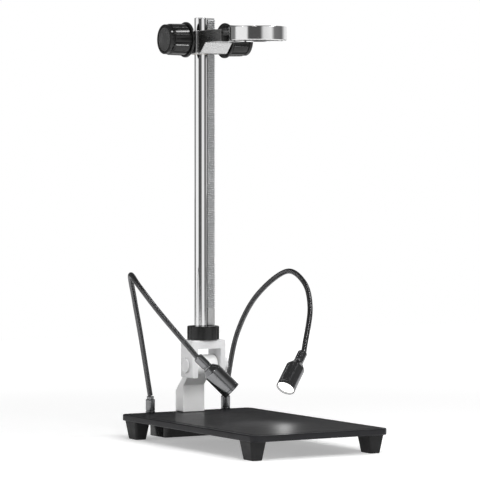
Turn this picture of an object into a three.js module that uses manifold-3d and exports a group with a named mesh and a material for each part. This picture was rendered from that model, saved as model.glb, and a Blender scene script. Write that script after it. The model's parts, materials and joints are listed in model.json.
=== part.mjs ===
// Bench stand for a document camera: a base plate on four feet, a tilting column with a rack,
// a focus carriage with a split camera ring, and two gooseneck lamps.
// Millimetres. +Z is up, +Y points to the rear (the column side), +X to the right.
// Origin: on the floor, under the middle of the base plate.

import * as THREE from 'three';
import { mergeVertices } from 'three/addons/utils/BufferGeometryUtils.js';
import Module from 'manifold-3d';

// ---------------------------------------------------------------- driving dimensions

const FIT_GAP = 0.3; // between two pieces that rest on, or sit in, each other
const RUNNING_GAP = 0.1; // radial, between a shaft and the hole that it turns in
const GUIDE_GAP = 0.1; // radial, between the column rod and its guide bushes

// Base plate and the surface mat let into it
const PLATE_WIDTH = 158;
const PLATE_LENGTH = 274;
const PLATE_THICKNESS = 6.5;
const PLATE_CORNER_RADIUS = 8;
const PLATE_EDGE_BEVEL = 0.8;
const MAT_MARGIN = 6; // from the plate's front and side edges
const MAT_REAR_MARGIN = 45; // from the plate's rear edge
const MAT_THICKNESS = 1.2;
const MAT_CORNER_RADIUS = 5;

// Feet
const FOOT_HEIGHT = 19;
const FOOT_TOP_WIDTH = 18;
const FOOT_TOP_LENGTH = 24;
const FOOT_BOTTOM_WIDTH = 12;
const FOOT_BOTTOM_LENGTH = 19;
const FOOT_EDGE_RADIUS = 2;
const FOOT_SIDE_INSET = 1.5;
const FOOT_END_INSET = 7;
const FOOT_RECESS_DEPTH = 6;
const FOOT_SCREW = { headRadius: 3.6, headHeight: 2.2, shankRadius: 1.7 };
const FOOT_SCREW_GRIP = 4.6; // depth of thread in the plate

// Lamp driver housing under the rear of the plate
const DRIVER_WIDTH = 104;
const DRIVER_LENGTH = 36;
const DRIVER_REAR_INSET = 13; // from the plate's rear edge
const DRIVER_FLOOR_CLEARANCE = 3;
const DRIVER_WALL = 2;
const DRIVER_CORNER_RADIUS = 5;
const DRIVER_BOSS_RADIUS = 4;
const DRIVER_BOSS_INSET = 8; // boss axis, from the side wall's outer face
const DRIVER_SCREW = { headRadius: 2.6, headHeight: 1.6, shankRadius: 1.2 };
const DRIVER_SCREW_GRIP = 4;
const BOARD_THICKNESS = 1.6;
const BOARD_LIFT = 1.5; // above the housing's floor
const BOARD_EDGE_CLEARANCE = 1.5;
const INLET_WIDTH = 12;
const INLET_LENGTH = 9;
const INLET_HEADROOM = 2.3; // between the inlet and the housing's top
const INLET_X = 26;
const INLET_SLOT_WIDTH = 9;
const INLET_WALL = 1.5; // above and below the slot
const INLET_SLOT_CORNER = 0.5;
const INLET_SLOT_DEPTH = 6.5;

// Pedestal, with the hinge knuckle at its top
const PEDESTAL_WIDTH = 26;
const PEDESTAL_DEPTH = 17.5;
const PEDESTAL_REAR_INSET = 1;
const PEDESTAL_FRONT_CREASE = 29; // above the plate
const PEDESTAL_REAR_CREASE = 22.5; // above the plate
const PIVOT_RISE = 51; // hinge axis above the plate
const PIVOT_REACH = 18; // hinge axis in front of the pedestal's front face
const KNUCKLE_RADIUS = 11;
const PEDESTAL_SCREW = { headRadius: 3.6, headHeight: 2.2, shankRadius: 2 };
const PEDESTAL_SCREW_GRIP = 11;
const PEDESTAL_SCREW_SPACING = 14;
const PEDESTAL_SCREW_REAR_INSET = 7.5;

// Column hinge
const PIN_RADIUS = 4;
const WASHER_RADIUS = 8;
const WASHER_THICKNESS = 1.4;
const HINGE_CAP_RADIUS = 7.8;
const HINGE_CAP_THICKNESS = 1.3;
const HINGE_KNOB_RADIUS = 8;
const HINGE_KNOB_LENGTH = 7.2;
const HINGE_KNOB_FLUTES = 12;
const HINGE_KNOB_FLUTE_DEPTH = 0.5;
const PIN_GRIP = 4; // pin length inside the clamp knob

// Clevis: heights are above the hinge axis, offsets are in front of or behind it
const CHEEK_CLEARANCE = 0.7; // between each cheek and the pedestal's knuckle
const CLEVIS_DEPTH = 26;
const CLEVIS_OFFSET = -1.5;
const CLEVIS_TOP = 27;
const CLEVIS_BRIDGE = 9; // thickness of the bridge over the cheeks
const CLEVIS_BOTTOM = -13;
const CHEEK_THICKNESS = 6.3;

// Column: collar, rod and rack
const COLUMN_TOP = 442; // above the floor
const COLLAR_RADIUS = 16.8;
const COLLAR_HEIGHT = 14.1;
const COLLAR_OFFSET = -1.6; // collar axis, from the hinge axis
const COLLAR_EDGE = 1;
const ROD_RADIUS = 6.7;
const ROD_OFFSET = 3.2; // rod axis, from the hinge axis
const ROD_SOCKET_DEPTH = 3;
const COLUMN_BOLT = { headRadius: 4.6, headHeight: 2.4, shankRadius: 2.5 };
const COLUMN_BOLT_GRIP = 12;
const RACK_WIDTH = 8.5;
const RACK_BACK = 3.3; // rear face, behind the rod axis
const RACK_FOOT_HEIGHT = 18.4;
const RACK_FOOT_DEPTH = 4.5;
const RACK_FOOT_SETBACK = 0.5; // front face, behind the rack's tooth tips
const RACK_SCREW = { headRadius: 1.9, headHeight: 1.6, shankRadius: 1.1 };
const RACK_SCREW_GRIP = 3.2;
const RACK_SCREW_END_INSET = 9;

// Rack and pinion teeth
const TOOTH_MODULE = 0.7;
const PINION_TEETH = 20;
const TOOTH_SHARE = 0.42; // tooth thickness over pitch, so the flanks keep backlash
const FLANK_SLOPE = Math.tan(THREE.MathUtils.degToRad(20));

// Carriage: heights are above the pinion axis
const SHAFT_ROD_GAP = 0.4; // between the pinion shaft and the rod that it passes
const PINION_BELOW_TOP = 23.7; // pinion axis below the column's top
const CARRIAGE_TOP = 9.2;
const ARM_THICKNESS = 13;
const CARRIAGE_HEIGHT = 23.7;
const ARM_WIDTH = 32;
const ARM_REACH = 69.7; // arm end in front of the rod axis
const GUSSET_REACH = 38; // where the sloped gusset meets the arm's underside
const GUIDE_BLOCK_SIDE_WALL = 3.1; // outside the rack's channel
const GUIDE_BLOCK_FRONT_WALL = 4.1; // in front of the pinion's pocket
const GUIDE_BLOCK_REAR_WALL = 1.3; // behind the bushes
const BUSH_WALL = 1.9;
const BUSH_HEIGHT = 5;
const RACK_CHANNEL_GAP = 0.4;
const PINION_SHAFT_RADIUS = 2.4;
const PINION_POCKET_GAP = 0.4;

// Focus knobs: distances along the pinion axis, from the middle of the carriage
const KNOB_STANDOFF = 3.3; // between the guide block and the knob
const KNOB_FLANGE_RADIUS = 18.5;
const KNOB_FLANGE_THICKNESS = 3;
const KNOB_GRIP_RADIUS = 16.4;
const KNOB_GRIP_LENGTH = 20.2;
const KNOB_FLUTES = 10;
const KNOB_FLUTE_DEPTH = 1.5;
const KNOB_RIM_RADIUS = 15.6;
const KNOB_RIM_LENGTH = 4;
const KNOB_CAP_RADIUS = 12.6;
const KNOB_CAP_THICKNESS = 2.4;
const KNOB_CAP_DISH = 1.5;
const KNOB_CAP_STEPS = 3;
const KNOB_RECESS_DEPTH = 3.4;

// Camera ring at the arm's end
const RING_REACH = 117.2; // ring axis in front of the rod axis
const RING_BORE_RADIUS = 25;
const RING_WALL = 4.5;
const RING_HEIGHT = 14.2;
const RING_SLIT = 2;
const TANG_WIDTH = 20;
const TANG_ROOT_DEPTH = 9; // held inside the arm
const TANG_ROOT_HEIGHT = 8.4;
const END_PLATE_THICKNESS = 3;
const RING_SCREW = { headRadius: 2.4, headHeight: 8, shankRadius: 1.5 };
const RING_SCREW_INSET = 3.2; // screw axis, in front of the end plate
const RING_SCREW_RISE = 2.2; // above the ring's mid height

// Lamps: the left lamp mirrors the right one in the plane X = 0
const POST_X = 46;
const POST_REAR_INSET = 6;
const POST_RADIUS = 5;
const POST_HEIGHT = 14.2;
const POST_NECK_RADIUS = 3.8;
const POST_NECK_HEIGHT = 3.2;
const POST_STUD_RADIUS = 3;
const POST_STUD_DROP = 5; // below the plate
const POST_NUT_RADIUS = 5.4;
const POST_NUT_HEIGHT = 4;
const NECK_RADIUS = 2.8;
const NECK_SIDES = 10;
const NECK_STEP = 8; // length of one straight facet of the neck
const NECK_START_GAP = 0.9; // between the post's top and the slanting end of the neck
const NECK_JOINT_GAP = 0.5; // between the neck's round ends and the pieces that turn against them
// Centre line from the post to the lamp, from the top of the post's neck
const NECK_ROUTE = [
  [0, 0, 0],
  [13, -3, 64],
  [29, -18, 105],
  [49, -48, 131],
  [53, -74, 120],
  [45, -99, 96],
  [19, -129, 52.5],
];
const NECK_CREST = 3; // index of the route's highest point, where the neck bends
const LAMP_HEADING = 207.5; // degrees, the way the right lamp points, seen from above
const LAMP_DIP = 44.8; // degrees below level
const SLEEVE_RADIUS = 5;
const SLEEVE_LENGTH = 15.2;
const SHOULDER_LENGTH = 6;
const LAMP_RADIUS = 9.9;
const LAMP_LENGTH = 27.8;
const LAMP_WALL = 1.6;
const LAMP_CAVITY_DEPTH = 22;
const LED_BOARD_THICKNESS = 1.6;
const LENS_THICKNESS = 5;
const LENS_RECESS = 1;

// Facets round a full turn
const FINE = 32;
const MEDIUM = 24;
const COARSE = 12;

// ---------------------------------------------------------------- derived dimensions

const PLATE_BOTTOM = FOOT_HEIGHT;
const PLATE_TOP = PLATE_BOTTOM + PLATE_THICKNESS;
const PLATE_REAR = PLATE_LENGTH / 2;
const PEDESTAL_REAR = PLATE_REAR - PEDESTAL_REAR_INSET;
const PEDESTAL_FRONT = PEDESTAL_REAR - PEDESTAL_DEPTH;
const BOARD_BOTTOM = DRIVER_FLOOR_CLEARANCE + DRIVER_WALL + BOARD_LIFT;
const INLET_BOTTOM = BOARD_BOTTOM + BOARD_THICKNESS + FIT_GAP;
const INLET_HEIGHT = PLATE_BOTTOM - FIT_GAP - INLET_HEADROOM - INLET_BOTTOM;
const INLET_SLOT_HEIGHT = INLET_HEIGHT - 2 * INLET_WALL;
const PIVOT = new THREE.Vector3(0, PEDESTAL_FRONT - PIVOT_REACH, PLATE_TOP + PIVOT_RISE);
const CHEEK_INNER = PEDESTAL_WIDTH / 2 + CHEEK_CLEARANCE;
const CLEVIS_WIDTH = 2 * (CHEEK_INNER + CHEEK_THICKNESS);
const CLEVIS_BRIDGE_BOTTOM = CLEVIS_TOP - CLEVIS_BRIDGE;
const COLLAR_BOTTOM = CLEVIS_TOP + FIT_GAP;
const COLLAR_TOP = COLLAR_BOTTOM + COLLAR_HEIGHT;
const ROD_BOTTOM = CLEVIS_TOP - ROD_SOCKET_DEPTH + FIT_GAP;
const ROD_TOP = COLUMN_TOP - PIVOT.z;
const RACK_FOOT_BOTTOM = COLLAR_TOP + FIT_GAP;
const RACK_BOTTOM = RACK_FOOT_BOTTOM + RACK_FOOT_HEIGHT + FIT_GAP;
const RACK_INNER = ROD_RADIUS + FIT_GAP;
const RACK_OUTER = RACK_INNER + RACK_WIDTH;
const TOOTH_PITCH = Math.PI * TOOTH_MODULE;
const PITCH_RADIUS = (TOOTH_MODULE * PINION_TEETH) / 2;
const ADDENDUM = TOOTH_MODULE;
const DEDENDUM = 1.25 * TOOTH_MODULE;
const PINION_OFFSET = -(ROD_RADIUS + SHAFT_ROD_GAP + PINION_SHAFT_RADIUS); // pinion axis, from the rod axis
const PINION_POCKET_RADIUS = PITCH_RADIUS + ADDENDUM + PINION_POCKET_GAP;
const RACK_PITCH_LINE = PINION_OFFSET + PITCH_RADIUS; // from the rod axis
const RACK_TIP = RACK_PITCH_LINE - ADDENDUM;
const RACK_ROOT = RACK_PITCH_LINE + DEDENDUM;
const RACK_FOOT_FRONT = RACK_TIP + RACK_FOOT_SETBACK;
const RACK_SCREW_OFFSET = (RACK_ROOT + RACK_BACK) / 2;
const CARRIAGE_HEIGHT_ON_COLUMN = ROD_TOP - PINION_BELOW_TOP;
const CARRIAGE_BOTTOM = CARRIAGE_TOP - CARRIAGE_HEIGHT;
const ARM_BOTTOM = CARRIAGE_TOP - ARM_THICKNESS;
const ARM_MIDDLE = (CARRIAGE_TOP + ARM_BOTTOM) / 2;
const BUSH_INNER_RADIUS = ROD_RADIUS + GUIDE_GAP;
const BUSH_OUTER_RADIUS = BUSH_INNER_RADIUS + BUSH_WALL;
const GUIDE_BLOCK_WIDTH = 2 * (RACK_OUTER + RACK_CHANNEL_GAP + GUIDE_BLOCK_SIDE_WALL);
const GUIDE_BLOCK_FRONT = -PINION_OFFSET + PINION_POCKET_RADIUS + GUIDE_BLOCK_FRONT_WALL;
const GUIDE_BLOCK_REAR = BUSH_OUTER_RADIUS + FIT_GAP + GUIDE_BLOCK_REAR_WALL;
const KNOB_INNER_FACE = GUIDE_BLOCK_WIDTH / 2 + KNOB_STANDOFF;
const KNOB_FLANGE_END = KNOB_INNER_FACE + KNOB_FLANGE_THICKNESS;
const KNOB_GRIP_END = KNOB_FLANGE_END + KNOB_GRIP_LENGTH;
const KNOB_END = KNOB_GRIP_END + KNOB_RIM_LENGTH;
const SHAFT_HALF_LENGTH = KNOB_GRIP_END - 2;
const RING_OUTER_RADIUS = RING_BORE_RADIUS + RING_WALL;
const END_PLATE_FRONT = -ARM_REACH - FIT_GAP - END_PLATE_THICKNESS;
const POST_Y = PLATE_REAR - POST_REAR_INSET;
const POST_TOP = PLATE_TOP + FIT_GAP + POST_HEIGHT + POST_NECK_HEIGHT;

// ---------------------------------------------------------------- finishes

const finish = (color, roughness, metalness) =>
  new THREE.MeshStandardMaterial({ color, roughness, metalness });

const FINISH = {
  blackPlate: finish(0x17181a, 0.35, 0.4),
  blackMat: finish(0x101113, 0.25, 0),
  rubber: finish(0x141415, 0.85, 0),
  blackPlastic: finish(0x0f1012, 0.4, 0),
  board: finish(0x14532d, 0.6, 0),
  whitePaint: finish(0xe6e6e4, 0.45, 0),
  greyMetal: finish(0xc9cacb, 0.4, 0.7),
  steel: finish(0xa9abae, 0.3, 0.9),
  chrome: finish(0xd9dadc, 0.08, 1),
  rackSteel: finish(0x8d8f92, 0.35, 0.9),
  satinAluminium: finish(0xb9babc, 0.3, 0.9),
  brass: finish(0xb08d4a, 0.35, 0.9),
  nylon: finish(0xeeeeea, 0.6, 0),
  gunmetal: finish(0x3a3c40, 0.3, 0.9),
  neckMetal: finish(0x1f2023, 0.4, 0.7),
  lens: finish(0xfdfdf6, 0.1, 0),
};

// ---------------------------------------------------------------- shape helpers

const wasm = await Module();
wasm.setup();

function toSolid(geometry) {
  const bare = geometry.clone();
  bare.deleteAttribute('normal');
  bare.deleteAttribute('uv');
  const merged = mergeVertices(bare);
  const mesh = new wasm.Mesh({
    numProp: 3,
    vertProperties: new Float32Array(merged.attributes.position.array),
    triVerts: new Uint32Array(merged.index.array),
  });
  return new wasm.Manifold(mesh);
}

function toGeometry(solid) {
  const mesh = solid.getMesh();
  const geometry = new THREE.BufferGeometry();
  geometry.setAttribute('position', new THREE.BufferAttribute(new Float32Array(mesh.vertProperties), 3));
  geometry.setIndex(new THREE.BufferAttribute(new Uint32Array(mesh.triVerts), 1));
  geometry.computeVertexNormals();
  return geometry;
}

const cut = (body, ...tools) =>
  toGeometry(tools.reduce((solid, tool) => solid.subtract(toSolid(tool)), toSolid(body)));

const join = (...bodies) =>
  toGeometry(bodies.slice(1).reduce((solid, body) => solid.add(toSolid(body)), toSolid(bodies[0])));

const box = ([x0, x1], [y0, y1], [z0, z1]) =>
  new THREE.BoxGeometry(x1 - x0, y1 - y0, z1 - z0)
    .translate((x0 + x1) / 2, (y0 + y1) / 2, (z0 + z1) / 2);

// Cylinder standing along Z from z0 to z1
const rodZ = (radius, z0, z1, facets = MEDIUM) =>
  new THREE.CylinderGeometry(radius, radius, z1 - z0, facets)
    .rotateX(Math.PI / 2)
    .translate(0, 0, (z0 + z1) / 2);

// Cylinder lying along X from x0 to x1
const rodX = (radius, x0, x1, facets = MEDIUM) =>
  new THREE.CylinderGeometry(radius, radius, x1 - x0, facets)
    .rotateZ(Math.PI / 2)
    .translate((x0 + x1) / 2, 0, 0);

// Solid of revolution about Z, from [radius, z] points that start and end on the axis
const turned = (profile, facets = MEDIUM) =>
  new THREE.LatheGeometry(profile.map(([r, z]) => new THREE.Vector2(r, z)), facets).rotateX(Math.PI / 2);

// Turns a piece made along +Z so that it lies along +X
const alongX = (geometry) => geometry.rotateY(Math.PI / 2);

function roundedRectangle(width, length, radius) {
  const x = width / 2 - radius;
  const y = length / 2 - radius;
  const shape = new THREE.Shape();
  shape.absarc(x, -y, radius, -Math.PI / 2, 0);
  shape.absarc(x, y, radius, 0, Math.PI / 2);
  shape.absarc(-x, y, radius, Math.PI / 2, Math.PI);
  shape.absarc(-x, -y, radius, Math.PI, 1.5 * Math.PI);
  return shape;
}

function slab(width, length, radius, z0, z1, curveSegments = 4) {
  const options = { depth: z1 - z0, bevelEnabled: false, curveSegments };
  return new THREE.ExtrudeGeometry(roundedRectangle(width, length, radius), options).translate(0, 0, z0);
}

const outline = (points) => new THREE.Shape(points.map(([a, b]) => new THREE.Vector2(a, b)));

// Extrudes an outline drawn in (Y, Z) along X, from x0 to x1
function profileAlongX(shape, x0, x1) {
  const options = { depth: x1 - x0, bevelEnabled: false, curveSegments: 8 };
  const turn = new THREE.Matrix4().makeBasis(
    new THREE.Vector3(0, 1, 0),
    new THREE.Vector3(0, 0, 1),
    new THREE.Vector3(1, 0, 0),
  );
  return new THREE.ExtrudeGeometry(shape, options).applyMatrix4(turn).translate(x0, 0, 0);
}

// Screw along +Z: its head sits on z = 0 and points down, its shank goes up
const screw = ({ headRadius, headHeight, shankRadius }, shankLength) =>
  turned([
    [0, -headHeight],
    [headRadius, -headHeight],
    [headRadius, 0],
    [shankRadius, 0],
    [shankRadius, shankLength],
    [0, shankLength],
  ], COARSE);

// Round outline with evenly spaced hollow flutes
function flutedOutline(radius, flutes, depth, stepsPerFlute) {
  const points = [];
  for (let i = 0; i < flutes * stepsPerFlute; i += 1) {
    const angle = (i / (flutes * stepsPerFlute)) * 2 * Math.PI;
    const hollow = Math.max(0, Math.cos(flutes * angle));
    const r = radius - depth * hollow;
    points.push([r * Math.cos(angle), r * Math.sin(angle)]);
  }
  return outline(points);
}

function place(group, name, geometry, material, position = [0, 0, 0]) {
  const mesh = new THREE.Mesh(geometry, material);
  mesh.name = name;
  mesh.position.set(...position);
  group.add(mesh);
  return mesh;
}

const SIDES = [
  { side: 'left', sign: -1 },
  { side: 'right', sign: 1 },
];

// ---------------------------------------------------------------- base plate, mat and feet

const MAT_LENGTH = PLATE_LENGTH - MAT_MARGIN - MAT_REAR_MARGIN;
const MAT_WIDTH = PLATE_WIDTH - 2 * MAT_MARGIN;
const MAT_Y = (MAT_MARGIN - MAT_REAR_MARGIN) / 2;
const FOOT_X = PLATE_WIDTH / 2 - FOOT_SIDE_INSET - FOOT_TOP_WIDTH / 2;
const FOOT_Y = PLATE_LENGTH / 2 - FOOT_END_INSET - FOOT_TOP_LENGTH / 2;
const FEET = [
  { name: 'front_left', x: -FOOT_X, y: -FOOT_Y },
  { name: 'front_right', x: FOOT_X, y: -FOOT_Y },
  { name: 'rear_left', x: -FOOT_X, y: FOOT_Y },
  { name: 'rear_right', x: FOOT_X, y: FOOT_Y },
];
const DRIVER_REAR = PLATE_REAR - DRIVER_REAR_INSET;
const DRIVER_Y = DRIVER_REAR - DRIVER_LENGTH / 2;
const DRIVER_BOSS_X = DRIVER_WIDTH / 2 - DRIVER_BOSS_INSET;
const PEDESTAL_SCREW_Y = PEDESTAL_REAR - PEDESTAL_SCREW_REAR_INSET;

function basePlate() {
  const bevel = PLATE_EDGE_BEVEL;
  const shape = roundedRectangle(
    PLATE_WIDTH - 2 * bevel, PLATE_LENGTH - 2 * bevel, PLATE_CORNER_RADIUS - bevel,
  );
  const plate = new THREE.ExtrudeGeometry(shape, {
    depth: PLATE_THICKNESS - 2 * bevel,
    bevelThickness: bevel,
    bevelSize: bevel,
    bevelSegments: 1,
    curveSegments: 4,
  }).translate(0, 0, PLATE_BOTTOM + bevel);
  const matRecess = slab(
    MAT_WIDTH + 2 * FIT_GAP, MAT_LENGTH + 2 * FIT_GAP, MAT_CORNER_RADIUS + FIT_GAP,
    PLATE_TOP - MAT_THICKNESS, PLATE_TOP + 1,
  ).translate(0, MAT_Y, 0);
  const footThreads = FEET.map(({ x, y }) =>
    rodZ(FOOT_SCREW.shankRadius + FIT_GAP, PLATE_BOTTOM - 1, PLATE_BOTTOM + FOOT_SCREW_GRIP + FIT_GAP, COARSE)
      .translate(x, y, 0));
  const driverThreads = SIDES.map(({ sign }) =>
    rodZ(DRIVER_SCREW.shankRadius + FIT_GAP, PLATE_BOTTOM - 1, PLATE_BOTTOM + DRIVER_SCREW_GRIP + FIT_GAP, COARSE)
      .translate(sign * DRIVER_BOSS_X, DRIVER_Y, 0));
  const pedestalHoles = SIDES.flatMap(({ sign }) => [
    rodZ(PEDESTAL_SCREW.shankRadius + FIT_GAP, PLATE_BOTTOM - 1, PLATE_TOP + 1, COARSE),
    rodZ(PEDESTAL_SCREW.headRadius + FIT_GAP, PLATE_BOTTOM - 1,
      PLATE_BOTTOM + PEDESTAL_SCREW.headHeight + 2 * FIT_GAP, COARSE),
  ].map((hole) => hole.translate((sign * PEDESTAL_SCREW_SPACING) / 2, PEDESTAL_SCREW_Y, 0)));
  const studHoles = SIDES.map(({ sign }) =>
    rodZ(POST_STUD_RADIUS + FIT_GAP, PLATE_BOTTOM - 1, PLATE_TOP + 1, COARSE)
      .translate(sign * POST_X, POST_Y, 0));
  return cut(plate, matRecess, ...footThreads, ...driverThreads, ...pedestalHoles, ...studHoles);
}

function workMat() {
  return slab(MAT_WIDTH, MAT_LENGTH, MAT_CORNER_RADIUS, 0, MAT_THICKNESS);
}

// Foot standing on z = 0, narrower at the floor than at the plate
function foot() {
  const top = FOOT_HEIGHT - FIT_GAP;
  const block = slab(1, 1, FOOT_EDGE_RADIUS / FOOT_TOP_WIDTH, 0, top, 3);
  const corners = block.attributes.position;
  for (let i = 0; i < corners.count; i += 1) {
    const share = corners.getZ(i) / top;
    corners.setX(i, corners.getX(i) * THREE.MathUtils.lerp(FOOT_BOTTOM_WIDTH, FOOT_TOP_WIDTH, share));
    corners.setY(i, corners.getY(i) * THREE.MathUtils.lerp(FOOT_BOTTOM_LENGTH, FOOT_TOP_LENGTH, share));
  }
  return cut(
    block,
    rodZ(FOOT_SCREW.headRadius + FIT_GAP, -1, FOOT_RECESS_DEPTH, COARSE),
    rodZ(FOOT_SCREW.shankRadius + FIT_GAP, -1, FOOT_HEIGHT, COARSE),
  );
}

function addBasePlate(group) {
  place(group, 'base_plate', basePlate(), FINISH.blackPlate);
  place(group, 'work_mat', workMat(), FINISH.blackMat, [0, MAT_Y, PLATE_TOP - MAT_THICKNESS + FIT_GAP]);
  const seat = FOOT_RECESS_DEPTH - FIT_GAP;
  for (const { name, x, y } of FEET) {
    place(group, `foot_${name}`, foot(), FINISH.rubber, [x, y, 0]);
    const shank = PLATE_BOTTOM + FOOT_SCREW_GRIP - seat;
    place(group, `foot_screw_${name}`, screw(FOOT_SCREW, shank), FINISH.steel, [x, y, seat]);
  }
}

// ---------------------------------------------------------------- lamp driver under the plate

function driverHousing() {
  const top = PLATE_BOTTOM - FIT_GAP;
  const floor = DRIVER_FLOOR_CLEARANCE + DRIVER_WALL;
  const shell = slab(DRIVER_WIDTH, DRIVER_LENGTH, DRIVER_CORNER_RADIUS, DRIVER_FLOOR_CLEARANCE, top);
  const hollow = slab(
    DRIVER_WIDTH - 2 * DRIVER_WALL, DRIVER_LENGTH - 2 * DRIVER_WALL,
    DRIVER_CORNER_RADIUS - DRIVER_WALL, floor, top + 1,
  );
  const inletHole = box(
    [INLET_X - INLET_WIDTH / 2 - FIT_GAP, INLET_X + INLET_WIDTH / 2 + FIT_GAP],
    [DRIVER_LENGTH / 2 - DRIVER_WALL - 1, DRIVER_LENGTH / 2 + 1],
    [INLET_BOTTOM - FIT_GAP, INLET_BOTTOM + INLET_HEIGHT + FIT_GAP],
  );
  const bosses = SIDES.map(({ sign }) =>
    rodZ(DRIVER_BOSS_RADIUS, floor - 1, top, COARSE).translate(sign * DRIVER_BOSS_X, 0, 0));
  const screwHoles = SIDES.flatMap(({ sign }) => [
    rodZ(DRIVER_SCREW.shankRadius + FIT_GAP, 0, PLATE_BOTTOM, COARSE),
    rodZ(DRIVER_SCREW.headRadius + FIT_GAP, 0, driverScrewSeat() + FIT_GAP, COARSE),
  ].map((hole) => hole.translate(sign * DRIVER_BOSS_X, 0, 0)));
  return cut(join(cut(shell, hollow), ...bosses), inletHole, ...screwHoles);
}

const driverScrewSeat = () => DRIVER_FLOOR_CLEARANCE + DRIVER_SCREW.headHeight + FIT_GAP;

function driverBoard() {
  const halfWidth = DRIVER_BOSS_X - DRIVER_BOSS_RADIUS - BOARD_EDGE_CLEARANCE;
  const halfLength = DRIVER_LENGTH / 2 - DRIVER_WALL - BOARD_EDGE_CLEARANCE;
  return box([-halfWidth, halfWidth], [-halfLength, halfLength], [0, BOARD_THICKNESS]);
}

function powerInlet() {
  const body = box([-INLET_WIDTH / 2, INLET_WIDTH / 2], [-INLET_LENGTH, 0], [0, INLET_HEIGHT]);
  const slot = slab(INLET_SLOT_WIDTH, INLET_SLOT_HEIGHT, INLET_SLOT_CORNER, 0, INLET_SLOT_DEPTH + 1, 1)
    .rotateX(Math.PI / 2)
    .translate(0, 1, INLET_HEIGHT / 2);
  return cut(body, slot);
}

function addDriver(group) {
  const driver = new THREE.Group();
  driver.position.y = DRIVER_Y;
  place(driver, 'driver_housing', driverHousing(), FINISH.blackPlastic);
  place(driver, 'driver_board', driverBoard(), FINISH.board, [0, 0, BOARD_BOTTOM]);
  place(driver, 'power_inlet', powerInlet(), FINISH.steel, [INLET_X, DRIVER_LENGTH / 2, INLET_BOTTOM]);
  for (const { side, sign } of SIDES) {
    const shank = PLATE_BOTTOM + DRIVER_SCREW_GRIP - driverScrewSeat();
    place(driver, `driver_screw_${side}`, screw(DRIVER_SCREW, shank), FINISH.steel,
      [sign * DRIVER_BOSS_X, 0, driverScrewSeat()]);
  }
  group.add(driver);
}

// ---------------------------------------------------------------- pedestal and column hinge

// Dog-leg block that leans forward at 45 degrees to the knuckle at its top
function pedestal() {
  const bottom = PLATE_TOP + FIT_GAP;
  const frontCrease = PLATE_TOP + PEDESTAL_FRONT_CREASE;
  const rearCrease = PLATE_TOP + PEDESTAL_REAR_CREASE;
  const frontShift = (PEDESTAL_FRONT + frontCrease - PIVOT.y - PIVOT.z) / 2;
  const rearShift = (PEDESTAL_REAR + rearCrease - PIVOT.y - PIVOT.z) / 2;
  const leg = profileAlongX(outline([
    [PEDESTAL_FRONT, bottom],
    [PEDESTAL_REAR, bottom],
    [PEDESTAL_REAR, rearCrease],
    [PIVOT.y + rearShift, PIVOT.z + rearShift],
    [PIVOT.y + frontShift, PIVOT.z + frontShift],
    [PEDESTAL_FRONT, frontCrease],
  ]), -PEDESTAL_WIDTH / 2, PEDESTAL_WIDTH / 2);
  const atPivot = (geometry) => geometry.translate(0, PIVOT.y, PIVOT.z);
  const knuckle = atPivot(rodX(KNUCKLE_RADIUS, -PEDESTAL_WIDTH / 2, PEDESTAL_WIDTH / 2, FINE));
  const pinHole = atPivot(rodX(PIN_RADIUS + RUNNING_GAP, -PEDESTAL_WIDTH, PEDESTAL_WIDTH));
  const washerInner = CHEEK_INNER - WASHER_THICKNESS - 2 * FIT_GAP;
  const washerSeats = SIDES.map(({ sign }) =>
    atPivot(rodX(WASHER_RADIUS + FIT_GAP, washerInner, PEDESTAL_WIDTH).scale(sign, 1, sign)));
  const threads = SIDES.map(({ sign }) =>
    rodZ(PEDESTAL_SCREW.shankRadius + FIT_GAP, bottom - 1, PLATE_TOP + PEDESTAL_SCREW_GRIP + FIT_GAP, COARSE)
      .translate((sign * PEDESTAL_SCREW_SPACING) / 2, PEDESTAL_SCREW_Y, 0));
  return cut(join(leg, knuckle), pinHole, ...washerSeats, ...threads);
}

function hingeCap() {
  return turned([
    [0, 0],
    [HINGE_CAP_RADIUS, 0],
    [HINGE_CAP_RADIUS, 0.6 * HINGE_CAP_THICKNESS],
    [0.85 * HINGE_CAP_RADIUS, HINGE_CAP_THICKNESS],
    [0, HINGE_CAP_THICKNESS],
  ]).rotateY(-Math.PI / 2);
}

function hingeKnob() {
  const shape = flutedOutline(HINGE_KNOB_RADIUS, HINGE_KNOB_FLUTES, HINGE_KNOB_FLUTE_DEPTH, 4);
  const grip = profileAlongX(shape, 0, HINGE_KNOB_LENGTH);
  return cut(grip, rodX(PIN_RADIUS + RUNNING_GAP, -1, PIN_GRIP + FIT_GAP));
}

function washer() {
  const ring = rodX(WASHER_RADIUS, -WASHER_THICKNESS / 2, WASHER_THICKNESS / 2);
  return cut(ring, rodX(PIN_RADIUS + RUNNING_GAP, -WASHER_THICKNESS, WASHER_THICKNESS));
}

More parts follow.
